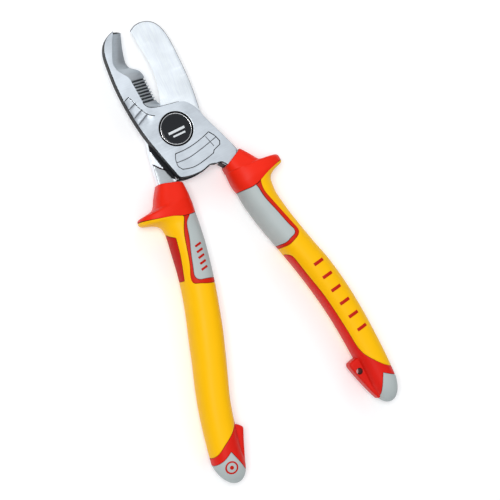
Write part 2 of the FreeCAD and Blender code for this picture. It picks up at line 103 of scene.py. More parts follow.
def ring_loop(r, n=96):
    """Circle about the pivot."""
    a = np.arange(n) * 2 * pi / n
    return np.c_[r * np.cos(a), r * np.sin(a)]


def chain(*parts):
    """Joins sampled curves into one open line, dropping doubled points."""
    p = np.vstack(parts)
    keep = np.r_[True, np.hypot(*np.diff(p, axis=0).T) > 1e-4]
    return p[keep]


def closed(*parts):
    """Joins sampled curves into one loop."""
    p = chain(*parts)
    return p[:-1] if np.hypot(*(p[0] - p[-1])) < 1e-4 else p


def area(loop):
    x, y = loop.T
    return 0.5 * np.sum(x * np.roll(y, -1) - y * np.roll(x, -1))


def ccw(loop):
    return loop if area(loop) > 0 else loop[::-1]


def inside(loop, pts):
    """Whether each point lies inside a loop."""
    x, y = pts.T
    hit = np.zeros(len(pts), bool)
    q = np.roll(loop, -1, 0)
    for (x0, y0), (x1, y1) in zip(loop, q):
        if y0 != y1:
            hit ^= ((y0 > y) != (y1 > y)) & (x < (x1 - x0) * (y - y0) / (y1 - y0) + x0)
    return hit


def to_segments(a, d, pts):
    """Shortest distance from each point to the segments from a to a + d."""
    n = np.maximum((d ** 2).sum(1), 1e-12)
    out = np.empty(len(pts))
    for i in range(0, len(pts), CHUNK):
        v = pts[i:i + CHUNK, None] - a[None]
        t = np.clip((v * d).sum(2) / n, 0, 1)
        out[i:i + CHUNK] = np.sqrt(((v - t[..., None] * d) ** 2).sum(2).min(1))
    return out


def dist(line, pts, close=True):
    """Shortest distance from each point to a line."""
    a = line if close else line[:-1]
    return to_segments(a, (np.roll(line, -1, 0) if close else line[1:]) - a, pts)


def signed(loop, p):
    """Distance from a loop, positive inside."""
    return np.where(inside(loop, p), 1, -1) * dist(loop, p)


def beside(line, offs, close=True):
    """Points beside a line at each offset."""
    t = (np.roll(line, -1, 0) - np.roll(line, 1, 0)) if close else np.gradient(line, axis=0)
    nrm = np.c_[-t[:, 1], t[:, 0]] / np.maximum(np.hypot(*t.T), 1e-9)[:, None]
    return np.vstack([line + nrm * o for o in offs])


def fill(loop, step, rims=(), holes=(), lines=(), line_offs=(0.0,)):
    """Triangulates a flat region.

    Its points are the border, rings beside the border and beside the lines,
    and a lattice with the given step."""
    loops = [ccw(loop)] + [ccw(h)[::-1] for h in holes]

    def to_border(p):
        return np.min([dist(m, p) for m in loops], 0)

    def covers(p):
        ok = inside(loops[0], p)
        for h in loops[1:]:
            ok &= ~inside(h, p)
        return ok

    rings = []
    for l in loops:
        for r in rims:
            p = beside(l, [r])
            rings.append(p[to_border(p) > r * 0.93])
    rings += [beside(ln, line_offs, close) for ln, close in lines]
    rings = np.vstack(rings) if rings else np.zeros((0, 2))
    lo, hi = loop.min(0), loop.max(0)
    X, Y = np.meshgrid(np.arange(lo[0], hi[0], step),
                       np.arange(lo[1], hi[1], step * ROW))
    X[1::2] += step / 2
    lattice = np.c_[X.ravel(), Y.ravel()]
    widest = max(rims) if rims else 0
    lattice = lattice[to_border(lattice) > widest + 0.55 * step]
    for ln, close in lines:
        lattice = lattice[dist(ln, lattice, close) > max(line_offs) + 0.45 * step]
    free = np.vstack([rings, lattice])
    free = free[covers(free)]
    free = free[to_border(free) > NEAR / 2]
    # thin out points that nearly coincide
    key = np.round(free / NEAR).astype(int)
    free = free[np.unique(key, axis=0, return_index=True)[1]]
    border, edges = [], []
    for l in loops:
        k = len(border)
        border += list(l)
        edges += [(k + i, k + (i + 1) % len(l)) for i in range(len(l))]
    vs = [Vector((float(x), float(y))) for x, y in border + list(free)]
    out = delaunay_2d_cdt(vs, edges, [], 0, 1e-6, False)
    P = np.array([(v[0], v[1]) for v in out[0]])
    T = np.array([f for f in out[2] if len(f) == 3])
    T = T[covers(P[T].mean(1))]
    u, v = P[T[:, 1]] - P[T[:, 0]], P[T[:, 2]] - P[T[:, 0]]
    flip = u[:, 0] * v[:, 1] - u[:, 1] * v[:, 0] < 0
    T[flip] = T[flip][:, ::-1]
    return P, T


def border_of(T):
    """Directed edges that belong to one triangle only."""
    seen = {}
    for t in T:
        for i in range(3):
            seen[(t[i], t[(i + 1) % 3])] = True
    return [e for e in seen if (e[1], e[0]) not in seen]


def rim(d, r):
    """How far a rounded edge of radius r has dropped at distance d from the border."""
    d = np.clip(d, 0, r)
    return r - np.sqrt(np.maximum(r * r - (r - d) ** 2, 0))


def blend(a, b, t):
    """Rows of points running from line a to line b."""
    return a[None] * (1 - t[..., None]) + b[None] * t[..., None]


def read_back(P, z, loop, default):
    """Heights of a face at its border, so that the walls meet it exactly."""
    at = {(round(x, 3), round(y, 3)): h for (x, y), h in zip(P, z)}
    return np.array([at.get((round(x, 3), round(y, 3)), default) for x, y in loop])


def step_in(s, w=0.12):
    """Soft step from 0 outside to 1 inside a recess."""
    u = np.clip((s + w) / (2 * w), 0, 1)
    return u * u * (3 - 2 * u)


def new_object(name, data):
    o = bpy.data.objects.new(name, data)
    bpy.context.scene.collection.objects.link(o)
    return o


class Build:
    """Collects vertices in millimetres and faces, and makes one object."""

    def __init__(self):
        self.v, self.f, self.m, self.n = [], [], [], 0

    def add(self, verts, faces, flip=False, m=0):
        verts = np.asarray(verts, float)
        self.v.append(verts)
        self.f += [[int(i) + self.n for i in (f[::-1] if flip else f)] for f in faces]
        self.m += [int(k) for k in np.broadcast_to(m, len(faces))]
        self.n += len(verts)
        return self

    def grid(self, P, flip=False, wrap=False, m=0):
        """Quads between the points P, rows x columns x 3."""
        r, c = P.shape[:2]
        faces = []
        for i in range(r - 1):
            for j in range(c if wrap else c - 1):
                k = (j + 1) % c
                faces.append((i * c + j, i * c + k, (i + 1) * c + k, (i + 1) * c + j))
        return self.add(P.reshape(-1, 3), faces, flip, m)

    def lathe(self, profile, n=96, m=0):
        """Turns (radius, z) pairs about the pivot."""
        a = np.arange(n) * 2 * pi / n
        P = np.array([[(r * cos(t), r * sin(t), z) for t in a] for r, z in profile])
        return self.grid(P, False, True, m)

    def slab(self, P, T, z, sign, m=0):
        """A triangulated face at heights z, looking up or down."""
        return self.add(np.c_[P, z], T, flip=sign < 0, m=m)

    def wall(self, loop, z0, z1, flip, n=3, m=0):
        """Upright wall under a loop, from z0 down to z1."""
        P = np.array([[(x, y, z0 + (z1 - z0) * i / n) for x, y in loop]
                      for i in range(n + 1)])
        return self.grid(P, flip, True, m)

    def make(self, name, keys, sharp=35, weld=2e-3):
        """The object, with the named materials; edges above `sharp` degrees stay hard."""
        me = bpy.data.meshes.new(name)
        me.from_pydata([tuple(p) for p in np.vstack(self.v) * MM], [], self.f)
        me.polygons.foreach_set("material_index", self.m)
        bm = bmesh.new()
        bm.from_mesh(me)
        bmesh.ops.remove_doubles(bm, verts=bm.verts, dist=weld * MM)
        bmesh.ops.dissolve_degenerate(bm, dist=1e-7, edges=bm.edges)
        bm.to_mesh(me)
        bm.free()
        me.polygons.foreach_set("use_smooth", [True] * len(me.polygons))
        me.set_sharp_from_angle(angle=radians(sharp))
        for key in keys:
            me.materials.append(mats[key])
        return new_object(name, me)


# --------------------------------------------------------------- materials


def material(name):
    """A new material with one Principled shader."""
    m = bpy.data.materials.new(name)
    m.use_nodes = True
    nt = m.node_tree
    nt.nodes.clear()
    out = nt.nodes.new("ShaderNodeOutputMaterial")
    b = nt.nodes.new("ShaderNodeBsdfPrincipled")
    nt.links.new(b.outputs[0], out.inputs[0])
    return m, nt, b


def wire(nt, node, ins):
    """Links or sets each of a node's inputs."""
    for k, v in ins.items():
        if isinstance(v, bpy.types.NodeSocket):
            nt.links.new(v, node.inputs[k])
        else:
            node.inputs[k].default_value = v


def put(nt, kind, ins=None, **props):
    """Adds a node with its properties and inputs."""
    n = nt.nodes.new(kind)
    for k, v in props.items():
        setattr(n, k, v)
    wire(nt, n, ins or {})
    return n


def coords(nt, scale=(1, 1, 1), rot=(0, 0, 0)):
    """Object coordinates, scaled and turned."""
    tc = put(nt, "ShaderNodeTexCoord")
    mp = put(nt, "ShaderNodeMapping", {"Vector": tc.outputs["Object"], "Scale": scale,
                                       "Rotation": rot})
    return mp.outputs[0]


def noise(nt, vec, scale, detail=4.0, rough=0.55):
    return put(nt, "ShaderNodeTexNoise", {"Vector": vec, "Scale": scale, "Detail": detail,
                                          "Roughness": rough}).outputs["Fac"]


def ramp(nt, fac, a, b, lo=0.0, hi=1.0):
    """Maps fac from lo..hi to a..b, clamped."""
    return put(nt, "ShaderNodeMapRange", {"Value": fac, "From Min": lo, "From Max": hi,
                                          "To Min": a, "To Max": b}).outputs[0]


def mix(nt, fac, a, b):
    """Colour between a and b."""
    return put(nt, "ShaderNodeMix", {0: fac, 6: a, 7: b}, data_type="RGBA").outputs[2]


def bump(nt, height, strength, distance=0.0002, normal=None):
    ins = {"Height": height, "Strength": strength, "Distance": distance}
    if normal is not None:
        ins["Normal"] = normal
    return put(nt, "ShaderNodeBump", ins).outputs[0]


def rgba(c, k=1.0):
    """Colour times k, no channel above 1, with full opacity."""
    return (min(1.0, c[0] * k), min(1.0, c[1] * k), min(1.0, c[2] * k), 1.0)


def steel(name, color, rough, lines=None, line_mix=0.5, spread=0.05):
    """Metal with a fine grain; `lines` is the scale and turn of its grinding marks."""
    m, nt, b = material(name)
    o = coords(nt)
    cloud = noise(nt, o, 90.0, 3.0)
    fine = noise(nt, o, 5200.0, 2.0, 0.6)
    c = mix(nt, ramp(nt, cloud, 0, 1, 0.3, 0.7), rgba(color, 0.93), rgba(color))
    r = ramp(nt, cloud, rough - spread, rough + spread, 0.3, 0.7)
    h = bump(nt, fine, 0.10, 0.00002)
    if lines:
        grind = noise(nt, coords(nt, *lines), 1.0, 3.0, 0.6)
        h = bump(nt, grind, line_mix, 0.00003, h)
        c = mix(nt, ramp(nt, grind, 0, 1, 0.35, 0.65), c, rgba(color, 1.04))
    # a few handling scuffs
    scuff = noise(nt, coords(nt, (40, 900, 40), (0, 0, 0.5)), 1.0, 2.0, 0.5)
    dull_and_shade = ramp(nt, ramp(nt, scuff, 0, 1, 0.66, 0.72), 0.0, 0.06)
    r = put(nt, "ShaderNodeMath", {0: r, 1: dull_and_shade}, operation="ADD").outputs[0]
    wire(nt, b, {"Base Color": c, "Roughness": r, "Normal": h, "Metallic": 1.0})
    return m


def polymer(name, color, rough, grain=0.35, dark=0.86, ior=1.22):
    """Moulded or painted surface: grain is the bump's strength, dark the shade of its clouds."""
    m, nt, b = material(name)
    o = coords(nt)
    cloud = noise(nt, o, 45.0, 4.0)
    g = noise(nt, o, 2600.0, 3.0, 0.65)
    c = mix(nt, ramp(nt, cloud, 0, 1, 0.25, 0.75), rgba(color, dark), rgba(color))
    wire(nt, b, {"Base Color": c,
                 "Roughness": ramp(nt, cloud, rough - 0.05, rough + 0.07, 0.3, 0.7),
                 "Normal": bump(nt, g, grain, 0.00004),
                 "Specular IOR Level": 0.5, "IOR": ior})
    return m


FORGED = ((260, 2600, 260), (0, 0, 0.2))
# colour, roughness, then the rest of what the maker takes
metals = {
    "forged_steel": ((0.58, 0.63, 0.68), 0.34, FORGED, 0.10),
    "blade_steel": ((0.88, 0.935, 1.0), 0.33, ((1800, 120, 400), (0, 0, 0.05)), 0.02, 0.03),
    # painted shade: darker steel for the blade's tang, standing in for shade on its lower, sloping face
    "tang_shade_steel": ((0.38, 0.41, 0.43), 0.38, FORGED, 0.10),
    "ground_steel": ((0.64, 0.675, 0.70), 0.34, ((160, 3200, 160), (0, 0, 0)), 0.22),
    # painted shade: the two darkest steels colour engraved lines, the blade's back edge and the serration
    # grooves
    "rim_shade_steel": ((0.12, 0.127, 0.14), 0.45),
    "groove_shade_steel": ((0.08, 0.085, 0.092), 0.42),
    "bolt_chrome": ((0.88, 0.89, 0.90), 0.16),
    "nut_steel": ((0.60, 0.62, 0.64), 0.33),
}
polymers = {
    # painted shade: near-black colours for side walls, edges, engraved lines and the gaps round the bolt
    # and nut
    "edge_shade_steel": ((0.016, 0.018, 0.021), 0.50, 0.3, 0.6, 1.2),
    "line_shade_steel": ((0.020, 0.022, 0.026), 0.5, 0.2, 0.8),
    "gap_shade_black": ((0.006, 0.006, 0.007), 0.6, 0.1, 0.8),
    "cap_black": ((0.008, 0.010, 0.013), 0.14, 0.03, 0.9, 1.45),
    "mark_pale": ((0.72, 0.76, 0.78), 0.35, 0.1, 0.9),
    "grip_yellow": ((1.0, 0.53, 0.0005), 0.46, 0.14, 0.96),
    "grip_red": ((0.90, 0.022, 0.006), 0.40, 0.18, 0.86),
    "heel_red": ((0.76, 0.014, 0.007), 0.42, 0.18, 0.84),
    "frame_red": ((0.66, 0.016, 0.004), 0.50, 0.22, 0.86),
    "inlay_red": ((0.56, 0.008, 0.004), 0.55, 0.30, 0.86),
    # painted shade: dark red for the seams between zones, the rounding along the guard's lower line and the
    # tether hole's wall
    "seam_shade_red": ((0.17, 0.008, 0.002), 0.6, 0.2, 0.8),
    "grip_grey": ((0.48, 0.53, 0.525), 0.46, 0.25, 0.9),
    "mark_red": ((0.55, 0.012, 0.004), 0.45, 0.2, 0.88),
}
mats = {key: steel(key, *row) for key, row in metals.items()}
mats.update({key: polymer(key, *row) for key, row in polymers.items()})

# ------------------------------------------------------------ steel halves
PLATE, SKIM = 6.0, 0.04              # thickness of a half, and its gap from the shear plane
BORE = 5.03
SINK_R, SINK_Z, SINK_RIM = 7.9, 2.9, 0.12      # counterbore for the bolt head
POCKET_R, POCKET_Z, POCKET_RIM = 8.4, -4.0, 0.25   # pocket for the nut
TANG = 5.0                           # half thickness of a tang
JOINT_R = 23.1                       # the joint plates lie within this radius

hook_outer = [(-8.8, 50.6), (-12.4, 49.1), (-15.8, 44.8), (-17.1, 37.0), (-17.4, 28.5),
              (-16.7, 17.0), (-14.8, 4.5), (-12.3, -4.9), (-9.4, -14.2), (-7.9, -18.8)]
hook_low = [[(-4.6, 49.4), (-5.7, 46.2), (-6.9, 42.2), (-7.8, 38.3), (-7.9, 35.3), (-7.2, 33.5)],
            [(-7.2, 33.5), (-5.4, 32.2), (-3.9, 31.0), (-3.0, 29.2), (-2.6, 27.6)],
            [(-2.6, 27.6), (-1.9, 15.8)],
            [(-1.9, 15.8), (-1.4, 14.1), (-0.2, 12.9), (1.6, 12.1)]]
hook_top = [[(-9.4, 49.2), (-10.6, 47.4), (-12.3, 43.4), (-14.0, 39.4), (-14.6, 36.4), (-14.2, 34.0)],
            [(-14.2, 34.0), (-13.1, 32.3), (-11.6, 30.4), (-10.5, 28.7), (-10.2, 26.9)],
            [(-10.2, 26.9), (-9.1, 16.2)],
            [(-9.1, 16.2), (-8.2, 14.2), (-5.7, 12.7), (-2.9, 12.0)]]
SER_N, SER_PITCH, SER_Y = 8, 1.45, 16.4         # grooves across the straight run
SER_HALF, SER_DEPTH = 0.50, 0.55
HOLLOW_DEPTH, HOLLOW_Y = 0.5, 31.0              # hollow grind toward the tip


def inner_edges():
    """The hook's inner edge in the shear plane and on the front face, sampled alike."""
    counts = (60, 30, 150, 24)
    low = chain(*[spl(s, n=n) for s, n in zip(hook_low, counts)])
    top = chain(*[spl(s, n=n) for s, n in zip(hook_top, counts)])
    return low, top


def hook_rest(last):
    """The hook half's outline from the throat round to the tip."""
    return chain(spl([last, (5.0, 11.1)], n=14),
                 spl([(5.0, 11.1), (7.6, 10.3), (10.0, 8.6), (11.7, 6.3), (13.0, 3.6)]),
                 spl([(13.0, 3.6), (15.0, -1.7), (17.2, -6.8), (20.3, -14.0)]),
                 spl([(20.3, -14.0), (22.1, -18.8)]), spl([(22.1, -18.8), (18.0, -26.0)], 0.8),
                 spl([(18.0, -26.0), (15.2, -23.6), (13.0, -21.3), (11.0, -21.2)]),
                 spl([(11.0, -21.2), *arc(21.95, -69, -104, 5)]),
                 spl([arc(21.95, -104, -104, 1)[0], (-6.9, -20.7), (-7.9, -18.8)], 0.35),
                 spl(hook_outer[::-1]))


# engraved on the hook half: an arc-shaped panel below the bolt, a ladder beside it
panel = closed(spl([(-4.8, -10.2), (0.0, -10.1), (5.1, -9.3), (13.1, -6.8)], 0.4),
               spl([(13.1, -6.8), (15.0, -9.3), (16.2, -12.4)], 0.4),
               spl([(16.2, -12.4), (15.6, -13.9)], 0.3),
               spl([(15.6, -13.9), (12.2, -15.2)], 0.4), spl([(12.2, -15.2), (11.4, -16.4)], 0.3),
               spl([(11.4, -16.4), (5.1, -18.1), (0.0, -18.7), (-4.6, -17.8)], 0.4),
               spl([(-4.6, -17.8), (-6.0, -15.9)], 0.4),
               spl([(-6.0, -15.9), (-5.8, -12.6), (-4.8, -10.2)], 0.4))
panel_line = spl([(-5.6, -14.15), (0.0, -14.1), (5.1, -13.1), (10.0, -11.8), (15.3, -10.2)], 0.4)
panel_cross = spl([(11.0, -8.2), (12.9, -13.6)], 0.4)
ladder_edge = spl([(-14.3, 20.8), (-13.3, 18.7), (-12.3, 15.8), (-10.8, 12.8), (-9.0, 10.4),
                   (-6.6, 8.9)], 0.4)
ladder_top = spl([(-17.3, 19.7), (-14.3, 20.8)], 0.4)
ladder = closed(spl([(-18.5, 19.2), (-14.3, 20.8)], 0.4), ladder_edge,
                spl([(-6.6, 8.9), (-12.6, 4.9)], 0.4), spl([(-12.6, 4.9), (-17.0, 4.0)], 0.4),
                spl([(-17.0, 4.0), (-20.0, 10.0), (-18.5, 19.2)], 1.0))
rungs = [spl(ends, 0.4) for ends in ([(-12.3, 17.4), (-18.5, 14.7)], [(-10.9, 13.6), (-17.6, 10.2)],
                                     [(-9.3, 11.0), (-16.8, 6.8)])]
faint_lines = [panel_line, panel_cross] + rungs
deep_lines = [ladder_edge, ladder_top]


def hook_relief(p):
    """Depth of the shallow recesses of the front face."""
    s = signed(panel, p)
    h = 0.26 * step_in(s) + 0.08 * step_in(0.14 - dist(panel_line, p, False), 0.10) * step_in(s)
    s = signed(ladder, p)
    keep = np.max([step_in(0.27 - dist(r, p, False), 0.1) for r in rungs], 0)
    # the ladder's recess runs out toward its open sides
    fade = np.clip((p[:, 1] - 4.4) / 4.0, 0, 1) * np.clip((p[:, 0] + 17.6) / 2.0, 0, 1)
    fade *= np.clip((-7.4 - p[:, 0]) / 2.5, 0, 1)
    return h + 0.14 * step_in(s) * (1 - keep) * fade


# material slots of the hook half; the edge, line, groove, gap and rim slots hold painted shade
hook_mats = ("forged_steel", "ground_steel", "edge_shade_steel", "line_shade_steel", "groove_shade_steel",
             "gap_shade_black", "rim_shade_steel")
H_FORGED, H_GROUND, H_EDGE_SHADE, H_LINE_SHADE, H_GROOVE_SHADE, H_GAP_SHADE, H_RIM_SHADE = range(7)


def line_faces(c):
    """Material of the front at the points c, with painted shade on the engraved lines."""
    m = np.full(len(c), H_FORGED)
    for ln in faint_lines:
        m[dist(ln, c, False) < 0.16] = H_RIM_SHADE
    m[np.abs(signed(panel, c)) < 0.21] = H_LINE_SHADE
    for ln in deep_lines:
        m[dist(ln, c, False) < 0.19] = H_LINE_SHADE
    return m


def build_hook():
    low_in, top_in = inner_edges()
    rest_top = hook_rest(tuple(top_in[-1]))
    rest_low = hook_rest(tuple(low_in[-1]))
    tip_top = spl([(-8.8, 50.6), (-9.2, 50.0), (-9.4, 49.2)], n=12)
    tip_low = spl([(-8.8, 50.6), (-6.5, 50.5), (-4.6, 49.4)], n=12)
    outer_r, bevel_r = 0.20, 0.10
    top = closed(top_in, rest_top, tip_top)
    n_in = len(top_in)
    b = Build()
    lines = [(panel, True)]
    lines += [(q, False) for q in [panel_line, panel_cross] + deep_lines + rungs]
    sink = ring_loop(SINK_R)
    P, T = fill(top, 1.0, [outer_r * k for k in RIM_STEPS + (1.5,)], [sink], lines,
                (-0.50, -0.26, -0.19, 0.0, 0.19, 0.26, 0.50))
    outer = chain(rest_top, tip_top[:1])
    z = PLATE - np.max([rim(dist(outer, P, False), outer_r), rim(dist(top_in, P, False), bevel_r),
                        rim(dist(sink, P), SINK_RIM)], 0)
    z -= hook_relief(P) * np.clip(dist(top, P) / 0.5, 0, 1) ** 0.5
    c = P[T].mean(1)
    m = line_faces(c)
    plain = (c[:, 0] > 6.0) & (c[:, 1] > -16.0)
    # painted shade: the rounded outer edge is dark, except on the plain part
    m[(dist(outer, c, False) < outer_r) & ~plain] = H_EDGE_SHADE
    # painted shadow: the face is dark along the throat, fading out toward the blade's heel
    throat = chain(top_in[-24:], rest_top[:14])
    m[dist(throat, c, False) < 0.30 - 0.012 * np.clip(c[:, 0] + 9.0, 0, 14)] = H_LINE_SHADE
    b.slab(P, T, z, 1, m)
    ztop = read_back(P, z, top, PLATE - outer_r)
    # ground bevel: hollow at the tip, grooved along the straight run, with painted shade in the grooves
    A, B = np.c_[top_in, ztop[:n_in]], np.c_[low_in, np.full(n_in, SKIM)]
    t = np.linspace(0, 1, 22)[:, None]
    G = blend(A, B, t)
    along = np.gradient((A + B) / 2, axis=0)
    nrm = np.cross(along, B - A)
    nrm *= np.sign(nrm[:, 2])[:, None]
    push = -nrm[:, :2] / np.hypot(nrm[:, 0], nrm[:, 1])[:, None]
    slope = np.hypot(nrm[:, 0], nrm[:, 1]) / np.linalg.norm(nrm, axis=1)
    g = np.zeros(G.shape[:2])
    for i in range(SER_N):
        d = (G[..., 1] - (SER_Y + SER_PITCH * i)) / SER_HALF
        g = np.maximum(g, np.sqrt(np.maximum(0, 1 - d * d)))
    g *= np.clip(t / 0.05, 0, 1)
    hollow = HOLLOW_DEPTH * np.sin(pi * t) * np.clip((G[..., 1] - HOLLOW_Y) / 6.0, 0, 1)
    G[..., :2] += push[None] * ((SER_DEPTH * g + hollow) / slope[None])[..., None]
    groove = (g[1:, 1:] + g[:-1, 1:] + g[1:, :-1] + g[:-1, :-1]) / 4 > 0.62
    b.grid(G, m=np.where(groove, H_GROOVE_SHADE, H_GROUND).ravel())
    low_in = G[-1, :, :2]
    low = closed(low_in, rest_low, tip_low)
    # remaining walls, painted dark as shade
    Wt, Wl = np.vstack([top[n_in - 1:], top[:1]]), np.vstack([low[n_in - 1:], low[:1]])
    zt_w = np.r_[ztop[n_in - 1:], ztop[:1]]
    k = np.linspace(0, 1, 6)[:, None]
    b.grid(np.dstack([blend(Wt, Wl, k), zt_w[None] * (1 - k) + SKIM * k]), m=H_EDGE_SHADE)
    # flat back face, counterbore and bore; the counterbore and bore are painted black as shade
    P, T = fill(low, 1.6, [0.2], [ring_loop(BORE)])
    b.slab(P, T, np.full(len(P), SKIM), -1)
    b.lathe([(SINK_R, PLATE - SINK_RIM), (SINK_R, SINK_Z), (BORE, SINK_Z), (BORE, SKIM)], m=H_GAP_SHADE)
    return b.make("hook_half_form", hook_mats, 32)


blade_back = [(15.0, 4.0), (15.8, 13.0), (16.0, 24.0), (15.6, 33.0), (14.7, 41.8), (12.6, 47.2),
              (9.4, 50.0), (5.8, 50.9)]
blade_in = ([(-0.3, 48.7), (1.0, 40.5), (2.1, 32.0), (1.6, 23.0), (-0.1, 15.0)],
            [(-0.1, 15.0), (-1.2, 12.8), (-3.2, 12.0)])
blade_in_back = ([(4.6, 47.3), (6.9, 40.2), (8.0, 32.0), (7.6, 23.0), (6.2, 15.6)],
                 [(6.2, 15.6), (3.6, 13.0), (-3.2, 12.0)])
RELIEF_R, RELIEF_DEPTH = 18.2, 0.6   # step down from the joint plate to the tang
# material slots of the blade half; the edge, tang, gap and rim slots hold painted shade
blade_mats = ("blade_steel", "edge_shade_steel", "tang_shade_steel", "gap_shade_black", "rim_shade_steel")
B_FACE, B_EDGE_SHADE, B_TANG_SHADE, B_GAP_SHADE, B_RIM_SHADE = range(5)


def blade_loop(tip, edges):
    """The blade half's outline: back, tip, cutting edge, heel, and the rest."""
    left = arc(13.0, 125, 180, 5)
    low_arc = arc(22.5, -110, -50, 40)
    return (spl(blade_back), spl(tip, n=16), spl(edges[0], n=90), spl(edges[1], n=16),
            chain(spl([edges[1][-1], *left]),
                  spl([left[-1], (-13.9, -4.0), (-14.9, -10.4), (-15.9, -17.9)]),
                  spl([(-15.9, -17.9), (-16.4, -22.0)]), spl([(-16.4, -22.0), (-8.6, -24.5)]),
                  spl([(-8.6, -24.5), low_arc[0]]), low_arc,
                  spl([low_arc[-1], (16.4, -11.0), (16.0, -3.0), (15.0, 4.0)])))


def blade_relief(p):
    """Depth of the blade half's face beyond the joint plate."""
    r = np.hypot(*p.T)
    left = step_in(-10.0 - p[:, 0] - (p[:, 1] + 13.0) * 0.35, 0.5)
    return RELIEF_DEPTH * step_in(r - RELIEF_R, 0.25) * left


def build_blade():
    f = blade_loop([(5.8, 50.9), (2.6, 50.4), (-0.3, 48.7)], blade_in)
    k = blade_loop([(5.8, 50.9), (5.0, 49.4), (4.6, 47.3)], blade_in_back)
    front, back = closed(*f), closed(*k)
    edge_r = 0.35
    rings = [edge_r * q for q in RIM_STEPS]
    b = Build()
    # the hook's outer edge over this half; a painted shadow band of the hook runs beside it
    beside_hook = spl([(-13.3, -2.0), (-12.3, -5.6), (-10.9, -10.6), (-9.6, -15.0), (-8.2, -19.0)])
    lines = [(arc(RELIEF_R, 205, 250, 40), False), (beside_hook, False)]
    P, T = fill(front, 1.0, rings, [ring_loop(BORE)], lines,
                (-1.5, -1.1, -0.3, -0.1, 0.1, 0.3, 1.1, 1.5))
    z = -SKIM - rim(dist(chain(f[4], f[0]), P, False), edge_r) - blade_relief(P)
    c = P[T].mean(1)
    r, (x, y) = np.hypot(*c.T), c.T
    # painted shade: the tang beyond the relief step is darker steel, and the step itself is dark
    m = np.where((r > RELIEF_R + 0.2) & (x < -7.0), B_TANG_SHADE, B_FACE)
    m[(np.abs(r - RELIEF_R) < 0.2) & (x <= -9.0)] = B_EDGE_SHADE
    # painted shadow of the hook: a dark band beside its outer edge
    m[dist(beside_hook, c, False) < 1.3] = B_EDGE_SHADE
    # painted shade on the lower rim below the bolt
    m[(r > 21.4) & (y < -14.0) & (x > -7.5)] = B_EDGE_SHADE
    # painted shade along the blade's back and tip, wider toward the tip
    dark = 0.26 + 0.008 * np.maximum(0, y - 36.0)
    m[(dist(chain(f[0], f[1]), c, False) < dark) & (y > 5.0)] = B_RIM_SHADE
    b.slab(P, T, z, 1, m)
    z_front = read_back(P, z, front, -SKIM)
    pocket = ring_loop(POCKET_R)
    P, T = fill(back, 1.2, rings, [pocket])
    z = -PLATE + np.maximum(rim(dist(chain(k[4], k[0], k[1][:2]), P, False), edge_r),
                            rim(dist(pocket, P), POCKET_RIM))
    b.slab(P, T, z, -1)
    z_back = read_back(P, z, back, -PLATE)
    # walls: painted dark as shade, except bright blade steel along the cutting edge and the heel
    q = np.linspace(0, 1, 10)[:, None]
    c = (front + np.roll(front, -1, 0)) / 2
    dull_and_shade = (dist(chain(f[2], f[3]), c, False) > 0.3) & ~((c[:, 0] < -10.0) & (c[:, 1] < 4.0))
    b.grid(np.dstack([blend(front, back, q), z_front[None] * (1 - q) + z_back[None] * q]),
           False, True, m=np.tile(np.where(dull_and_shade, B_EDGE_SHADE, B_FACE), len(q) - 1))
    # bore and nut pocket painted black as shade
    b.lathe([(BORE, -SKIM), (BORE, POCKET_Z), (POCKET_R, POCKET_Z),
             (POCKET_R, -PLATE + POCKET_RIM)], m=B_GAP_SHADE)
    return b.make("blade_half_form", blade_mats, 32)


def tang_form(name, outline, cut_side, key):
    """Tang beyond the shoulder, rounded along its edges, its side walls painted dark as shade."""
    loop = closed(*[spl(s, 0.8) for s in outline])
    b = Build()
    edge_r = 0.7
    P, T = fill(loop, 1.6, [edge_r * q for q in RIM_STEPS])
    for s in (1, -1):
        z = TANG - rim(dist(loop, P), edge_r)
        if s == cut_side:      # room for the other half's joint plate
            z = np.where(np.hypot(*P.T) < JOINT_R, 0.0, z)
        b.slab(P, T, s * z, s)
    b.wall(ccw(loop), TANG - edge_r, edge_r - TANG, True, m=1)
    return b.make(name, [key, "edge_shade_steel"], 40)


# -------------------------------------------------------------------- grips
MIRROR = 4.4           # the left-hand grip is shaped as a right-hand one, mirrored about this x
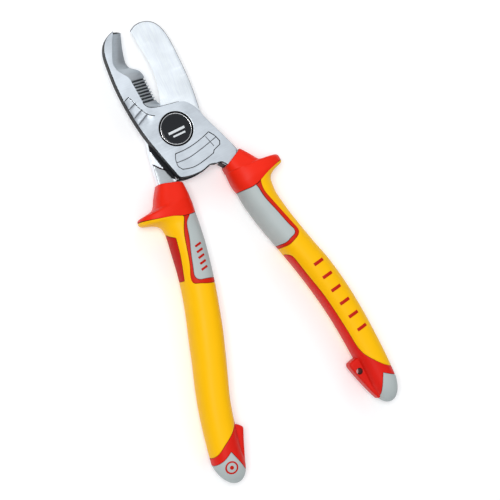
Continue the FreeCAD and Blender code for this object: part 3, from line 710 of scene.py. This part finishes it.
# rows: y, inner x, outer x, half depth, squareness; x as on the right-hand grip
rows = {
    "hook": [(-16.0, 14.6, 21.2, 6.6, 3.4), (-20.0, 14.3, 25.0, 7.2, 3.4), (-24.0, 14.2, 28.3, 7.9, 3.2),
             (-26.3, 14.3, 30.2, 8.4, 3.0), (-26.9, 14.3, 31.8, 8.6, 2.9), (-27.2, 14.4, 36.0, 8.9, 2.7),
             (-27.7, 14.4, 38.8, 9.2, 2.6), (-28.7, 14.4, 39.8, 9.4, 2.6), (-31.2, 14.5, 40.1, 9.6, 2.6),
             (-32.0, 14.5, 39.7, 9.6, 2.6), (-33.0, 14.6, 37.2, 9.5, 2.6), (-34.2, 14.8, 34.6, 9.3, 2.5),
             (-35.6, 15.1, 32.9, 9.05, 2.4), (-37.6, 15.7, 32.1, 8.8, 2.3), (-42, 16.2, 31.9, 8.8, 2.3),
             (-50, 17.9, 33.2, 9.1, 2.3), (-60, 20.8, 35.8, 9.3, 2.3), (-70, 24.0, 38.8, 9.5, 2.3),
             (-80, 27.0, 42.1, 9.5, 2.3), (-90, 29.6, 44.6, 9.4, 2.3), (-100, 31.8, 46.4, 9.2, 2.3),
             (-110, 33.5, 47.7, 9.0, 2.3), (-120, 34.7, 48.6, 8.8, 2.3), (-130, 35.6, 49.3, 8.6, 2.3),
             (-140, 36.4, 49.6, 8.4, 2.3)],
    "blade": [(-17.0, 16.6, 24.4, 6.8, 3.4), (-20.5, 15.7, 26.7, 7.3, 3.4), (-24.5, 14.9, 29.3, 8.0, 3.2),
              (-28.0, 14.6, 31.2, 8.7, 2.9), (-29.4, 14.5, 32.6, 9.0, 2.7), (-30.2, 14.5, 36.2, 9.3, 2.6),
              (-30.7, 14.5, 39.4, 9.5, 2.6), (-31.5, 14.5, 40.4, 9.6, 2.6), (-33.1, 14.5, 40.6, 9.6, 2.6),
              (-34.1, 14.6, 39.9, 9.5, 2.6), (-35.0, 14.7, 37.6, 9.4, 2.6), (-35.9, 14.8, 34.8, 9.2, 2.5),
              (-37.2, 14.9, 32.7, 8.95, 2.4), (-39.0, 15.0, 31.5, 8.75, 2.3), (-42, 15.2, 31.2, 8.8, 2.3),
              (-50, 16.0, 32.0, 9.1, 2.3), (-60, 17.6, 33.2, 9.3, 2.3), (-70, 19.6, 35.1, 9.5, 2.3),
              (-80, 22.0, 37.7, 9.5, 2.3), (-90, 24.6, 40.7, 9.4, 2.3), (-100, 27.7, 43.5, 9.2, 2.3),
              (-110, 31.0, 46.6, 9.0, 2.3), (-120, 34.3, 49.2, 8.8, 2.3), (-130, 36.6, 51.2, 8.6, 2.3),
              (-143.5, 38.9, 53.4, 8.4, 2.3)]}
dome = {"hook": (43.3, 12.2), "blade": (45.6, 12.1)}     # x of the pole and length past the last row
upper_mid = {"hook": (22.45, 23.6), "blade": (23.0, 23.35)}   # centre line at y -30 and -36
GIRTH = 8.5            # turns section angle into millimetres
HALF, ROUND = pi * GIRTH, 2 * pi * GIRTH       # halfway and all the way round
ZONE_R, MARK_R = 0.34, 0.12                    # rounded borders of the zones and the marks
collar_top = {"hook": [(13.0, -24.6), (24.6, -18.3)], "blade": [(15.4, -22.6), (27.0, -19.4)]}
guard_pts = {          # where the collar stops on the faces of the grip
    "hook": [(10.0, -37.0), (18.4, -37.3), (23.1, -36.9), (27.0, -35.3), (31.1, -33.4), (35.7, -31.9),
             (39.6, -30.9), (46.0, -29.5)],
    "blade": [(10.0, -37.0), (18.4, -37.5), (22.4, -36.8), (25.5, -35.6), (29.1, -34.7), (36.2, -33.2),
              (40.2, -32.2), (46.0, -30.9)]}
# borders of the soft zones: offset outward from the centre line, and height
inlay_edge = {
    "hook": [(-1.6, -36.0), (-0.5, -37.9), (-0.2, -40.5), (0.1, -44.5), (1.0, -50.0), (1.4, -56.0),
             (1.9, -60.5), (2.0, -62.3), (1.2, -63.6), (-1.8, -64.9), (-4.4, -66.0), (-7.0, -66.2)],
    "blade": [(-6.0, -36.0), (-3.6, -38.2), (-1.7, -39.9), (-0.8, -41.9), (-0.1, -47.0), (1.0, -52.0),
              (1.7, -56.5), (2.3, -61.0), (2.1, -64.0), (1.1, -65.2), (-1.9, -66.2), (-7.0, -67.3)]}
frame_edge = {
    "hook": [(2.9, -34.5), (1.8, -37.9), (1.6, -40.3), (2.2, -44.5), (3.1, -50.0), (3.6, -56.0),
             (4.0, -60.8), (3.7, -63.3), (1.8, -65.1), (-1.2, -66.5), (-4.6, -67.7), (-7.5, -67.8)],
    "blade": [(-1.6, -35.0), (-1.1, -37.9), (-0.1, -39.9), (1.5, -43.9), (2.2, -48.0), (2.9, -55.0),
              (3.7, -60.0), (4.2, -64.2), (3.7, -65.9), (0.9, -67.2), (-2.6, -68.5), (-7.5, -69.6)]}
outer_edge = {"hook": [(6.9, -44.2), (7.1, -48.0), (7.2, -62.6)],
              "blade": [(5.5, -44.6), (5.8, -51.0), (6.7, -63.8)]}
outer_ends = {"hook": (-43.4, -62.5), "blade": (-41.9, -63.6)}
heel_edge = {
    "hook": [(-7.6, -71.1), (-6.5, -72.6), (-6.25, -75.0), (-6.35, -83.0), (-5.9, -94.0), (-5.6, -105.0),
             (-5.2, -117.0), (-4.9, -122.6), (-3.9, -126.6), (-1.5, -130.4), (2.0, -134.3), (5.2, -136.5),
             (9.0, -138.0)],
    "blade": [(-7.65, -71.3), (-7.5, -75.0), (-7.65, -90.0), (-7.6, -106.0), (-7.3, -119.0), (-7.1, -126.5),
              (-6.4, -130.4), (-4.6, -132.9), (-1.3, -135.6), (2.2, -138.1), (5.2, -140.1), (9.0, -140.9)]}
tip_edge = {
    "hook": [[(35.2, -148.0), (37.9, -147.8), (39.3, -145.7)],
             [(39.3, -145.7), (41.1, -141.6), (42.9, -137.9)],
             [(42.9, -137.9), (45.6, -139.6), (52.0, -142.8)]],
    "blade": [[(37.5, -152.8), (40.4, -151.6), (41.6, -149.0)],
              [(41.6, -149.0), (43.0, -145.2), (44.6, -141.0)],
              [(44.6, -141.0), (49.2, -143.4), (56.0, -144.5)]]}
FLANGE, FLANGE_R, HOLE_R = 3.6, 1.2, 0.3       # half thickness, and its rounded edges
flange_edge = {
    "hook": [[(36.6, -127.2), (34.4, -127.5), (33.2, -127.8), (31.9, -128.2)],
             [(31.9, -128.2), (31.2, -129.0), (31.1, -130.0)],
             [(31.1, -130.0), (31.8, -132.5), (33.8, -138.5), (35.8, -143.8), (37.8, -148.3)],
             [(37.8, -148.3), (41.0, -147.6)], [(41.0, -147.6), (40.0, -127.3)],
             [(40.0, -127.3), (36.6, -127.2)]],
    "blade": [[(39.0, -130.6), (37.1, -131.1), (35.8, -131.8), (34.6, -133.0)],
              [(34.6, -133.0), (34.2, -133.9), (34.4, -134.8)],
              [(34.4, -134.8), (36.2, -139.3), (38.2, -144.7), (40.5, -151.0)],
              [(40.5, -151.0), (43.0, -150.8)], [(43.0, -150.8), (43.0, -130.7)],
              [(43.0, -130.7), (39.0, -130.6)]]}
TETHER = (34.3, -133.4, 1.5)           # x, y and radius of the tether hole


class Grip:
    """Skin of one grip: a point for each section angle and place along it.

    The place v is minus the length run along the outer side from the top row."""

    def __init__(self, side):
        self.side = side
        R = np.array(rows[side][::-1], float)
        y = np.linspace(R[-1, 0], R[0, 0], 1500)
        i, o, b, n = (pchip(R[:, 0], R[:, k], y) for k in (1, 2, 3, 4))
        ex, L = dome[side]
        phi = np.linspace(0, pi / 2 - 0.004, 240)[1:]
        k, m = np.cos(phi), (i[-1] + o[-1]) / 2
        self.y = np.r_[y, y[-1] - L * np.sin(phi)]
        self.cx = np.r_[(i + o) / 2, m + (ex - m) * np.sin(phi)]
        self.a = np.r_[(o - i) / 2, (o[-1] - i[-1]) / 2 * k]
        self.b = np.r_[b, b[-1] * k]
        self.n = np.r_[n, n[-1] + 0 * k]
        self.s = np.r_[0, np.cumsum(np.hypot(np.diff(self.cx + self.a), np.diff(self.y)))]
        self.end = -float(self.s[-1])

    def half(self, v):
        """Centre, half width, half depth, squareness and height at place v."""
        s = -np.asarray(v, float)
        return tuple(np.interp(s, self.s, q) for q in (self.cx, self.a, self.b, self.n, self.y))

    def place(self, y):
        """v of a height y."""
        return -np.interp(-np.asarray(y, float), -self.y, self.s)

    def point(self, th, v):
        """Skin point at section angle th and place v."""
        cx, a, b, n, y = self.half(v)
        c, s = np.cos(th), np.sin(th)
        return np.stack([cx + a * np.abs(c) ** (2 / n) * np.sign(c), y + 0 * c,
                         b * np.abs(s) ** (2 / n) * np.sign(s)], -1)

    def at(self, th, v, h):
        """Skin point raised by h along the normal."""
        th, v = np.asarray(th, float), np.asarray(v, float)
        v = np.maximum(v, self.end + 0.13)
        n = np.cross(self.point(th, v + 0.12) - self.point(th, v - 0.12),
                     self.point(th + 2e-3, v) - self.point(th - 2e-3, v))
        n /= np.maximum(np.linalg.norm(n, axis=-1), 1e-12)[..., None]
        return self.point(th, v) + n * np.asarray(h)[..., None]

    def angle(self, x, y):
        """Section angle on the front of the skin where x is met at height y."""
        cx, a, _, n, _ = self.half(self.place(y))
        q = np.clip((np.asarray(x) - cx) / np.maximum(a, 1e-6), -1, 1)
        return np.arccos(np.sign(q) * np.abs(q) ** (n / 2))

    def centre(self, y):
        """x of the centre line at height y."""
        body = [r for r in rows[self.side] if r[0] <= -42]
        t = np.array([r[0] for r in body][::-1] + [-36.0, -30.0], float)
        m = [(r[1] + r[2]) / 2 for r in body][::-1] + list(upper_mid[self.side][::-1])
        return np.interp(y, t, np.array(m, float))

    def flat(self, pts):
        """(x, y) outline points to unrolled (w, v)."""
        pts = np.asarray(pts, float)
        return np.c_[self.angle(pts[:, 0], pts[:, 1]) * GIRTH, self.place(pts[:, 1])]

    def meet(self, th, line):
        """v where the skin at angle th crosses y = line(x)."""
        hi, lo = np.zeros(np.shape(th)), np.full(np.shape(th), float(self.place(-60.0)))
        for _ in range(40):
            v = (hi + lo) / 2
            p = self.point(th, v)
            up = p[..., 1] > line(p[..., 0])
            hi, lo = np.where(up, v, hi), np.where(up, lo, v)
        return (hi + lo) / 2

    def guard(self, x):
        """Height of the guard's lower line at x."""
        g = np.array(guard_pts[self.side])
        return cubic(g[:, 0], g[:, 1], np.clip(np.asarray(x, float), 10.0, 46.0))

    def finish(self, P):
        """Points in the part's frame."""
        P = np.array(P, float)
        if self.side == "blade":
            P[..., 0] = 2 * MIRROR - P[..., 0]
        return P

    @property
    def flip(self):
        return self.side == "blade"


def patch(b, g, loop, raise_by=0.0, R=ZONE_R, step=0.75, holes=(), seams=(), deep=0.55, dark=0.0):
    """Zone of the skin with a rounded border, `dark` wide in its second material, which is painted seam
    shade.

    Borders that run along a seam stay plain."""
    P, T = fill(loop, step, [R * q for q in (0.1, 0.3, 0.6, 1.0)], holes)
    d = np.full(len(P), 9.0)
    for a in [loop] + list(holes):
        q = np.roll(a, -1, 0)
        real = np.ones(len(a), bool)
        for s in seams:
            real &= ~((np.abs(a[:, 0] - s) < 1e-3) & (np.abs(q[:, 0] - s) < 1e-3))
        real &= ~((a[:, 1] < g.end + 1e-3) & (q[:, 1] < g.end + 1e-3))
        d = np.minimum(d, to_segments(a[real], q[real] - a[real], P))
    h = raise_by - rim(d, R)
    top = g.at(P[:, 0] / GIRTH, P[:, 1], h)
    b.add(g.finish(top), T, flip=not g.flip, m=np.where(d[T].mean(1) < dark, 1, 0))
    # short skirt down from every border edge
    E = border_of(T)
    idx = sorted(set(i for e in E for i in e))
    pos = {k: i for i, k in enumerate(idx)}
    up = top[idx]
    dn = g.at(P[idx, 0] / GIRTH, P[idx, 1], h[idx] - deep)
    n = len(idx)
    b.add(g.finish(np.vstack([up, dn])),
          [(pos[i], pos[j], pos[j] + n, pos[i] + n) for i, j in E], flip=g.flip, m=1 if dark else 0)


def mirrored(front, about):
    """Front border followed by its copy on the back, about section angle `about`."""
    back = front[::-1].copy()
    back[:, 0] = 2 * about * GIRTH - back[:, 0]
    return closed(front, back)


def off_line(g, pts, step=0.6):
    """Smooth line through (offset from the centre line, y)."""
    p = np.array(pts, float)
    return spl(np.c_[g.centre(p[:, 1]) + p[:, 0], p[:, 1]], step)


def round_back(w):
    """The same line on the back of the grip."""
    m = w.copy()
    m[:, 0] = ROUND - m[:, 0]
    return m


def even(line, step=0.55):
    """The line sampled evenly."""
    t = np.r_[0, np.cumsum(np.hypot(*np.diff(line, axis=0).T))]
    s = np.linspace(0, t[-1], max(3, int(t[-1] / step)))
    return np.c_[np.interp(s, t, line[:, 0]), np.interp(s, t, line[:, 1])]


def along_guard(g, th0, th1, n=40):
    """Border that follows the guard's lower line."""
    th = np.linspace(th0, th1, n)
    return np.c_[th * GIRTH, g.meet(th, g.guard)]


def trim_top(g, line):
    """Front border from the guard line to the inner side, and the angle it starts at."""
    w = g.flat(line)[line[:, 1] < g.guard(line[:, 0]) - 0.05]
    th = w[0, 0] / GIRTH
    w = np.vstack([[th * GIRTH, g.meet(np.array([th]), g.guard)[0]], w])
    w = w[w[:, 0] < HALF - 0.05]
    return even(np.vstack([w, [HALF, w[-1, 1] - 0.02]])), th


def build_skin(g, out):
    """Every zone of a grip below its guard, each closed against its neighbours."""
    side, pre, seam = g.side, g.side + "_", 0.16
    wi, ti = trim_top(g, off_line(g, inlay_edge[side]))
    wf, tf = trim_top(g, off_line(g, frame_edge[side]))
    # grey inlay
    b = Build()
    top = along_guard(g, 2 * pi - ti, ti, 60)
    patch(b, g, closed(mirrored(wi, pi), top))
    out["inner_inlay"] = b.make(pre + "inner_inlay_form", ["grip_grey"], 50)
    # red frame, with painted seam shade along its borders
    b = Build()
    ring = closed(mirrored(wf, pi), along_guard(g, 2 * pi - tf, 2 * pi - ti, 8),
                  mirrored(wi, pi)[::-1], along_guard(g, ti, tf, 8))
    patch(b, g, ring, R=0.30, step=0.6, dark=0.15)
    out["inlay_frame"] = b.make(pre + "inlay_frame_form", ["frame_red", "seam_shade_red"], 50)
    # red outer inlay, with painted seam shade along its border
    b = Build()
    y0, y1 = outer_ends[side]
    edge = g.flat(off_line(g, outer_edge[side]))
    front = even(np.vstack([[[0.0, g.place(y0)]], edge, [[0.0, g.place(y1)]]]))
    outer_loop = mirrored(front, 0.0)
    patch(b, g, outer_loop, dark=seam)
    out["outer_inlay"] = b.make(pre + "outer_inlay_form", ["inlay_red", "seam_shade_red"], 50)
    # heel: the strip along the inner side, the band round the end and the hook, with painted seam shade
    # along its border and in the tether hole
    wh = g.flat(off_line(g, heel_edge[side]))
    wh = wh[wh[:, 0] > 0.05]
    wh = even(np.vstack([[[HALF, g.place(-70.9)]], wh, [[0.0, wh[-1, 1] - 0.1]]]))
    wt = g.flat(chain(*[spl(p, 0.5) for p in tip_edge[side]]))
    wt = wt[(wt[:, 0] > 0.05) & (wt[:, 0] < HALF - 0.05)]
    wt = even(np.vstack([[[HALF, wt[0, 1]]], wt, [[0.0, wt[-1, 1]]]]))
    b = Build()
    down = spl([(0.0, wh[-1, 1]), (0.0, wt[-1, 1])], 0.5)
    heel_loop = closed(wh, down, wt[::-1], round_back(wt), round_back(down)[::-1],
                       round_back(wh)[::-1])
    patch(b, g, heel_loop, seams=(0.0, ROUND), dark=seam)
    flange(b, g)
    out["heel"] = b.make(pre + "heel_form", ["heel_red", "seam_shade_red"], 50)
    # grey end cap, closed over the pole
    b = Build()
    end = g.end + 0.001
    down = spl([(0.0, wt[-1, 1]), (0.0, end)], 0.6)
    bottom = spl([(0.0, end), (ROUND, end)], 1.2)
    tip_loop = closed(wt, down, bottom, round_back(down)[::-1], round_back(wt)[::-1])
    patch(b, g, tip_loop, step=0.6, seams=(0.0, ROUND))
    out["tip_cap"] = b.make(pre + "tip_cap_form", ["grip_grey"], 50)
    # yellow skin and the core below every zone; the core is dark red, painted shade for the seams
    b = Build()
    left = closed(wf, spl([(HALF, wf[-1, 1]), (HALF, wh[0, 1])], 0.5), wh)
    loop = closed(left, left[::-1] * (-1, 1), along_guard(g, -tf, tf, 90))
    patch(b, g, loop, holes=[outer_loop], seams=(-HALF, HALF))
    TH, V = np.meshgrid(np.linspace(0, 2 * pi, 97)[:-1],
                        np.linspace(float(g.place(-30.0)), end, 220))
    skin = g.point(TH, V)
    sunk = np.where(skin[..., 1] > g.guard(skin[..., 0]) - 0.4, -1.4, -0.36)
    b.grid(g.finish(g.at(TH, V, sunk)), g.flip, True, m=1)
    out["grip_core"] = b.make(pre + "grip_core_form", ["grip_yellow", "seam_shade_red"], 50)


def build_collar(g, out):
    """Collar with the guard, rounded at its top and at its lower line."""
    b = Build()
    (x0, y0), (x1, y1) = collar_top[g.side]
    th = np.linspace(0, 2 * pi, 241)[:-1]
    vt = g.meet(th, lambda x: y0 + (x - x0) * (y1 - y0) / (x1 - x0))
    vb = g.meet(th, g.guard)
    r_top, r_low = 0.55, 0.32

    def rounding(r, a0, a1):
        return [(r * (1 - cos(q)), -r * (1 - sin(q))) for q in np.linspace(a0, a1, 6)]

    top = [(0.0, -4.2), (0.0, -2.0), (0.0, -r_top)] + rounding(r_top, 0.15, pi / 2)
    low = rounding(r_low, pi / 2, 0) + [(0.0, -0.9)]
    P = [g.at(th, vt - s, np.full(th.shape, h)) for s, h in top]
    P += [g.at(th, (vt - r_top) * (1 - q) + (vb + r_low) * q, np.zeros(th.shape))
          for q in np.linspace(0, 1, 90)[1:-1]]
    P += [g.at(th, vb + s, np.full(th.shape, h)) for s, h in low]
    m = np.zeros((len(P) - 1, len(th)), int)
    # painted shade: the rounding along the guard's lower line is dark red
    m[-6:] = 1
    b.grid(g.finish(np.array(P)), g.flip, True, m=m.ravel())
    out["collar"] = b.make(g.side + "_collar_form", ["grip_red", "seam_shade_red"], 55)


def build_marks(g, out):
    """Raised marks: bars on the hook's grip, a ringed dot on the other, ticks on both."""
    side, pre = g.side, g.side + "_"
    b = Build()
    if side == "hook":
        for loop in bar_loops():
            patch(b, g, g.flat(loop), raise_by=0.22, R=0.14, step=0.5, deep=0.6)
        out["face_bars"] = b.make(pre + "face_bars_form", ["mark_red"], 50)
    else:
        x, y = 2 * MIRROR + 38.3, -147.4
        patch(b, g, g.flat(circle(2.9, 60, x, y)), raise_by=0.2, R=MARK_R, step=0.4,
              holes=[g.flat(circle(2.2, 48, x, y))], deep=0.5)
        patch(b, g, g.flat(circle(0.9, 24, x, y)), raise_by=0.2, R=MARK_R, step=0.4, deep=0.5)
        out["tip_mark"] = b.make(pre + "tip_mark_form", ["mark_red"], 50)
    b = Build()
    for k in range(5):
        y = -51.2 - 2.65 * k
        x = float(g.centre(y)) - 2.9
        w = g.flat(strip((x - 1.6, y + 0.35), (x + 1.6, y - 0.35), 1.0))
        if side == "hook":
            w = round_back(w)
        patch(b, g, w, raise_by=0.2, R=MARK_R, step=0.5, deep=0.5)
    out["rating_ticks"] = b.make(pre + "rating_ticks_form", ["mark_red"], 50)


def build_grip(side):
    g = Grip(side)
    out = {}
    build_skin(g, out)
    build_collar(g, out)
    build_marks(g, out)
    return out


def strip(p, q, width, n=0.35):
    """Bar from p to q."""
    p, q = np.array(p, float), np.array(q, float)
    u = (q - p) / np.hypot(*(q - p))
    o = np.array([-u[1], u[0]]) * width / 2
    c = [p + o, p - o, q - o, q + o]
    return closed(*[spl([tuple(c[i]), tuple(c[(i + 1) % 4])], n) for i in range(4)])


def bar_loops():
    """Six bars across the face of the grip, square to its slope."""
    out = []
    u = np.array([sin(radians(10.9)), -cos(radians(10.9))])
    nn = np.array([-u[1], u[0]])
    for k in range(6):
        y = -80.0 - 7.0 * k
        c = np.array([34.9 + (-78.1 - y) * 0.193, y])
        out.append(strip(c - nn * 2.5, c + nn * 2.5, 1.5))
    return out


def flange(b, g):
    """Hook at the heel, with the tether hole on the right-hand grip."""
    loop = closed(*[spl(p, 0.35) for p in flange_edge[g.side]])
    x, y, r = TETHER
    holes = [circle(r, 48, x, y)] if g.side == "hook" else []
    P, T = fill(loop, 0.6, [FLANGE_R * q for q in (0.04, 0.12, 0.25, 0.45, 0.7, 1.0)], holes)
    z = FLANGE - rim(dist(loop, P), FLANGE_R)
    for h in holes:
        z = np.minimum(z, FLANGE - rim(dist(h, P), HOLE_R))
    for s in (1, -1):
        b.add(g.finish(np.c_[P, s * z]), T, flip=(s < 0) != g.flip)

    def side_wall(line, r, flip, m):
        W = np.array([[(x, y, z) for x, y in ccw(line)]
                      for z in np.linspace(FLANGE - r, r - FLANGE, 5)])
        b.grid(g.finish(W), flip, True, m)

    side_wall(loop, FLANGE_R, not g.flip, 0)
    # the tether hole's wall is painted dark red as shade
    for h in holes:
        side_wall(h, HOLE_R, g.flip, 1)


# -------------------------------------------------------------------- pivot


def rounded(points, r=0.2, n=4):
    """Profile with its inner corners rounded."""
    p = np.array(points, float)
    out = [tuple(p[0])]
    for i in range(1, len(p) - 1):
        a, c = p[i - 1] - p[i], p[i + 1] - p[i]
        la, lc = np.hypot(*a), np.hypot(*c)
        k = min(r, la * 0.45, lc * 0.45)
        s, e = p[i] + a / la * k, p[i] + c / lc * k
        for t in np.linspace(0, 1, n):
            out.append(tuple((1 - t) ** 2 * s + 2 * t * (1 - t) * p[i] + t * t * e))
    out.append(tuple(p[-1]))
    return out


def cap_height(r):
    """Height of the cap's slightly domed top."""
    return 5.6 + 0.1 * (1 - (r / 6.4) ** 2)


def build_pivot():
    out = {}
    b = Build()
    b.lathe(rounded([(0.0, -7.2), (5.0, -7.2), (5.0, SINK_Z), (7.15, SINK_Z), (7.15, 5.75),
                     (6.8, 5.75), (6.8, 4.9), (0.0, 4.9)], 0.12), 128)
    out["pivot_bolt"] = b.make("pivot_bolt_form", ["bolt_chrome"], 50)
    # black cap seated in the bolt's head, and the pale bars on it
    b = Build()
    prof = [(0.0, 4.92), (6.75, 4.92), (6.75, 5.35)]
    prof += [(6.75 - 0.35 * (1 - cos(q)), 5.35 + 0.25 * sin(q)) for q in np.linspace(0.2, pi / 2, 5)]
    prof += [(r, cap_height(r)) for r in np.linspace(6.1, 0.0, 14)]
    b.lathe(prof, 128)
    out["pivot_cap"] = b.make("pivot_cap_form", ["cap_black"], 50)
    b = Build()
    for p, q, w in (((-4.1, -1.0), (3.9, -0.5), 1.1), ((-2.6, -2.9), (3.4, -2.6), 0.8)):
        P, T = fill(strip(p, q, w), 0.4, [0.03])
        b.slab(P, T, cap_height(np.hypot(*P.T)) + 0.035, 1)
    out["pivot_cap_mark"] = b.make("pivot_cap_mark_form", ["mark_pale"], 50)
    # hexagon nut, chamfered at the corners
    b = Build()
    n = 96
    a = np.arange(n) * 2 * pi / n
    hexr = 6.5 / np.cos(a % (pi / 3) - pi / 6)
    bore = np.full(n, 5.05)
    lays = [(bore, -4.05), (hexr, -4.05), (hexr, -6.6), (np.minimum(hexr, 7.2), -6.9),
            (np.minimum(hexr, 6.7), -7.4), (np.full(n, 5.3), -7.4), (bore, -7.1), (bore, -4.05)]
    P = np.array([[(r[i] * cos(a[i]), r[i] * sin(a[i]), z) for i in range(n)] for r, z in lays])
    b.grid(P, True, True)
    out["pivot_nut"] = b.make("pivot_nut_form", ["nut_steel"], 30)
    return out


def use(obj, node, body):
    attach(obj, body)
    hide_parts(node)


use(build_hook(), "hook_half", "hook_body")
t = tang_form("hook_tang_form", [[(13.2, -21.6), (22.1, -18.0)],
              [(22.1, -18.0), (24.2, -24.0), (26.0, -34.0), (28.6, -48.0), (33.0, -64.0), (35.4, -72.0)],
              [(35.4, -72.0), (31.6, -73.2)],
              [(31.6, -73.2), (26.6, -60.0), (21.6, -44.0), (18.4, -33.0), (17.0, -26.0)],
              [(17.0, -26.0), (13.2, -21.6)]], -1, "forged_steel")
use(t, "hook_half", "hook_body")
use(build_blade(), "blade_half", "blade_body")
# the blade's tang takes the darker steel, painted shade
t = tang_form("blade_tang_form", [[(-17.2, -20.0), (-7.8, -23.0)],
              [(-7.8, -23.0), (-9.2, -34.0), (-11.5, -46.0), (-14.0, -58.0), (-18.0, -74.0)],
              [(-18.0, -74.0), (-22.0, -73.4)],
              [(-22.0, -73.4), (-20.6, -60.0), (-19.8, -46.0), (-18.4, -32.0), (-17.2, -20.0)]],
              1, "tang_shade_steel")
use(t, "blade_half", "blade_body")
for node, obj in build_pivot().items():
    use(obj, node, "hook_body")
for side in ("hook", "blade"):
    for part, obj in build_grip(side).items():
        use(obj, side + "_" + part, side + "_body")

# -------------------------------------------------------------------- stage
floor_mat, nt, bs = material("floor_paper")
wire(nt, bs, {"Base Color": (0.95, 0.95, 0.95, 1), "Roughness": 0.9,
              "Emission Color": (1, 1, 1, 1), "Emission Strength": 0.12})
me = bpy.data.meshes.new("floor")
FLOOR_HALF, FLOOR_Z = 3.0, -0.0100
me.from_pydata([(FLOOR_HALF * x, FLOOR_HALF * y, FLOOR_Z) for x, y in
                ((-1, -1), (1, -1), (1, 1), (-1, 1))], [], [(0, 1, 2, 3)])
me.materials.append(floor_mat)
floor = new_object("floor", me)

world = bpy.data.worlds.new("studio")
bpy.context.scene.world = world
world.use_nodes = True
nt = world.node_tree
direction = put(nt, "ShaderNodeTexCoord").outputs["Generated"]
height = put(nt, "ShaderNodeSeparateXYZ", {0: direction}).outputs[2]
sky = put(nt, "ShaderNodeValToRGB", {0: ramp(nt, height, 0, 1, -1.0, 1.0)})
horizon, zenith = sky.color_ramp.elements
horizon.position, horizon.color = 0.50, (0.16, 0.17, 0.19, 1)
zenith.position, zenith.color = 0.86, (0.80, 0.82, 0.85, 1)
wire(nt, nt.nodes["Background"], {0: sky.outputs[0], 1: 0.68})


def area_light(name, pos, size, watts, color):
    """Rectangular light aimed at the middle of the tool."""
    light = bpy.data.lights.new(name, "AREA")
    light.shape, light.energy, light.color = "RECTANGLE", watts, color
    light.size, light.size_y = size
    o = new_object(name, light)
    o.location = pos
    aim = Vector((0.0, -0.05, 0.0)) - Vector(pos)
    o.rotation_euler = aim.to_track_quat("-Z", "Y").to_euler()


area_light("key", (-0.22, 0.01, 0.88), (0.34, 0.34), 4.5, (1.0, 0.995, 0.985))
area_light("fill", (0.45, 0.60, 0.70), (0.6, 0.5), 1.3, (0.98, 0.99, 1.0))

cam = bpy.data.cameras.new("camera")
cam.sensor_width, cam.lens = 36.0, 112.3344
cam.clip_start, cam.clip_end = 0.05, 20
co = new_object("camera", cam)
look = Vector((0.2470, -0.0227, -0.9687)).normalized()
up = Vector((0.3898, 0.9176, 0.0778)).normalized()
right = look.cross(up).normalized()
up = right.cross(look)
co.matrix_world = Matrix(((right.x, up.x, -look.x, -0.1637), (right.y, up.y, -look.y, -0.0469),
                          (right.z, up.z, -look.z, 0.6833), (0, 0, 0, 1)))
bpy.context.scene.camera = co
bpy.context.scene.view_settings.view_transform = "Standard"
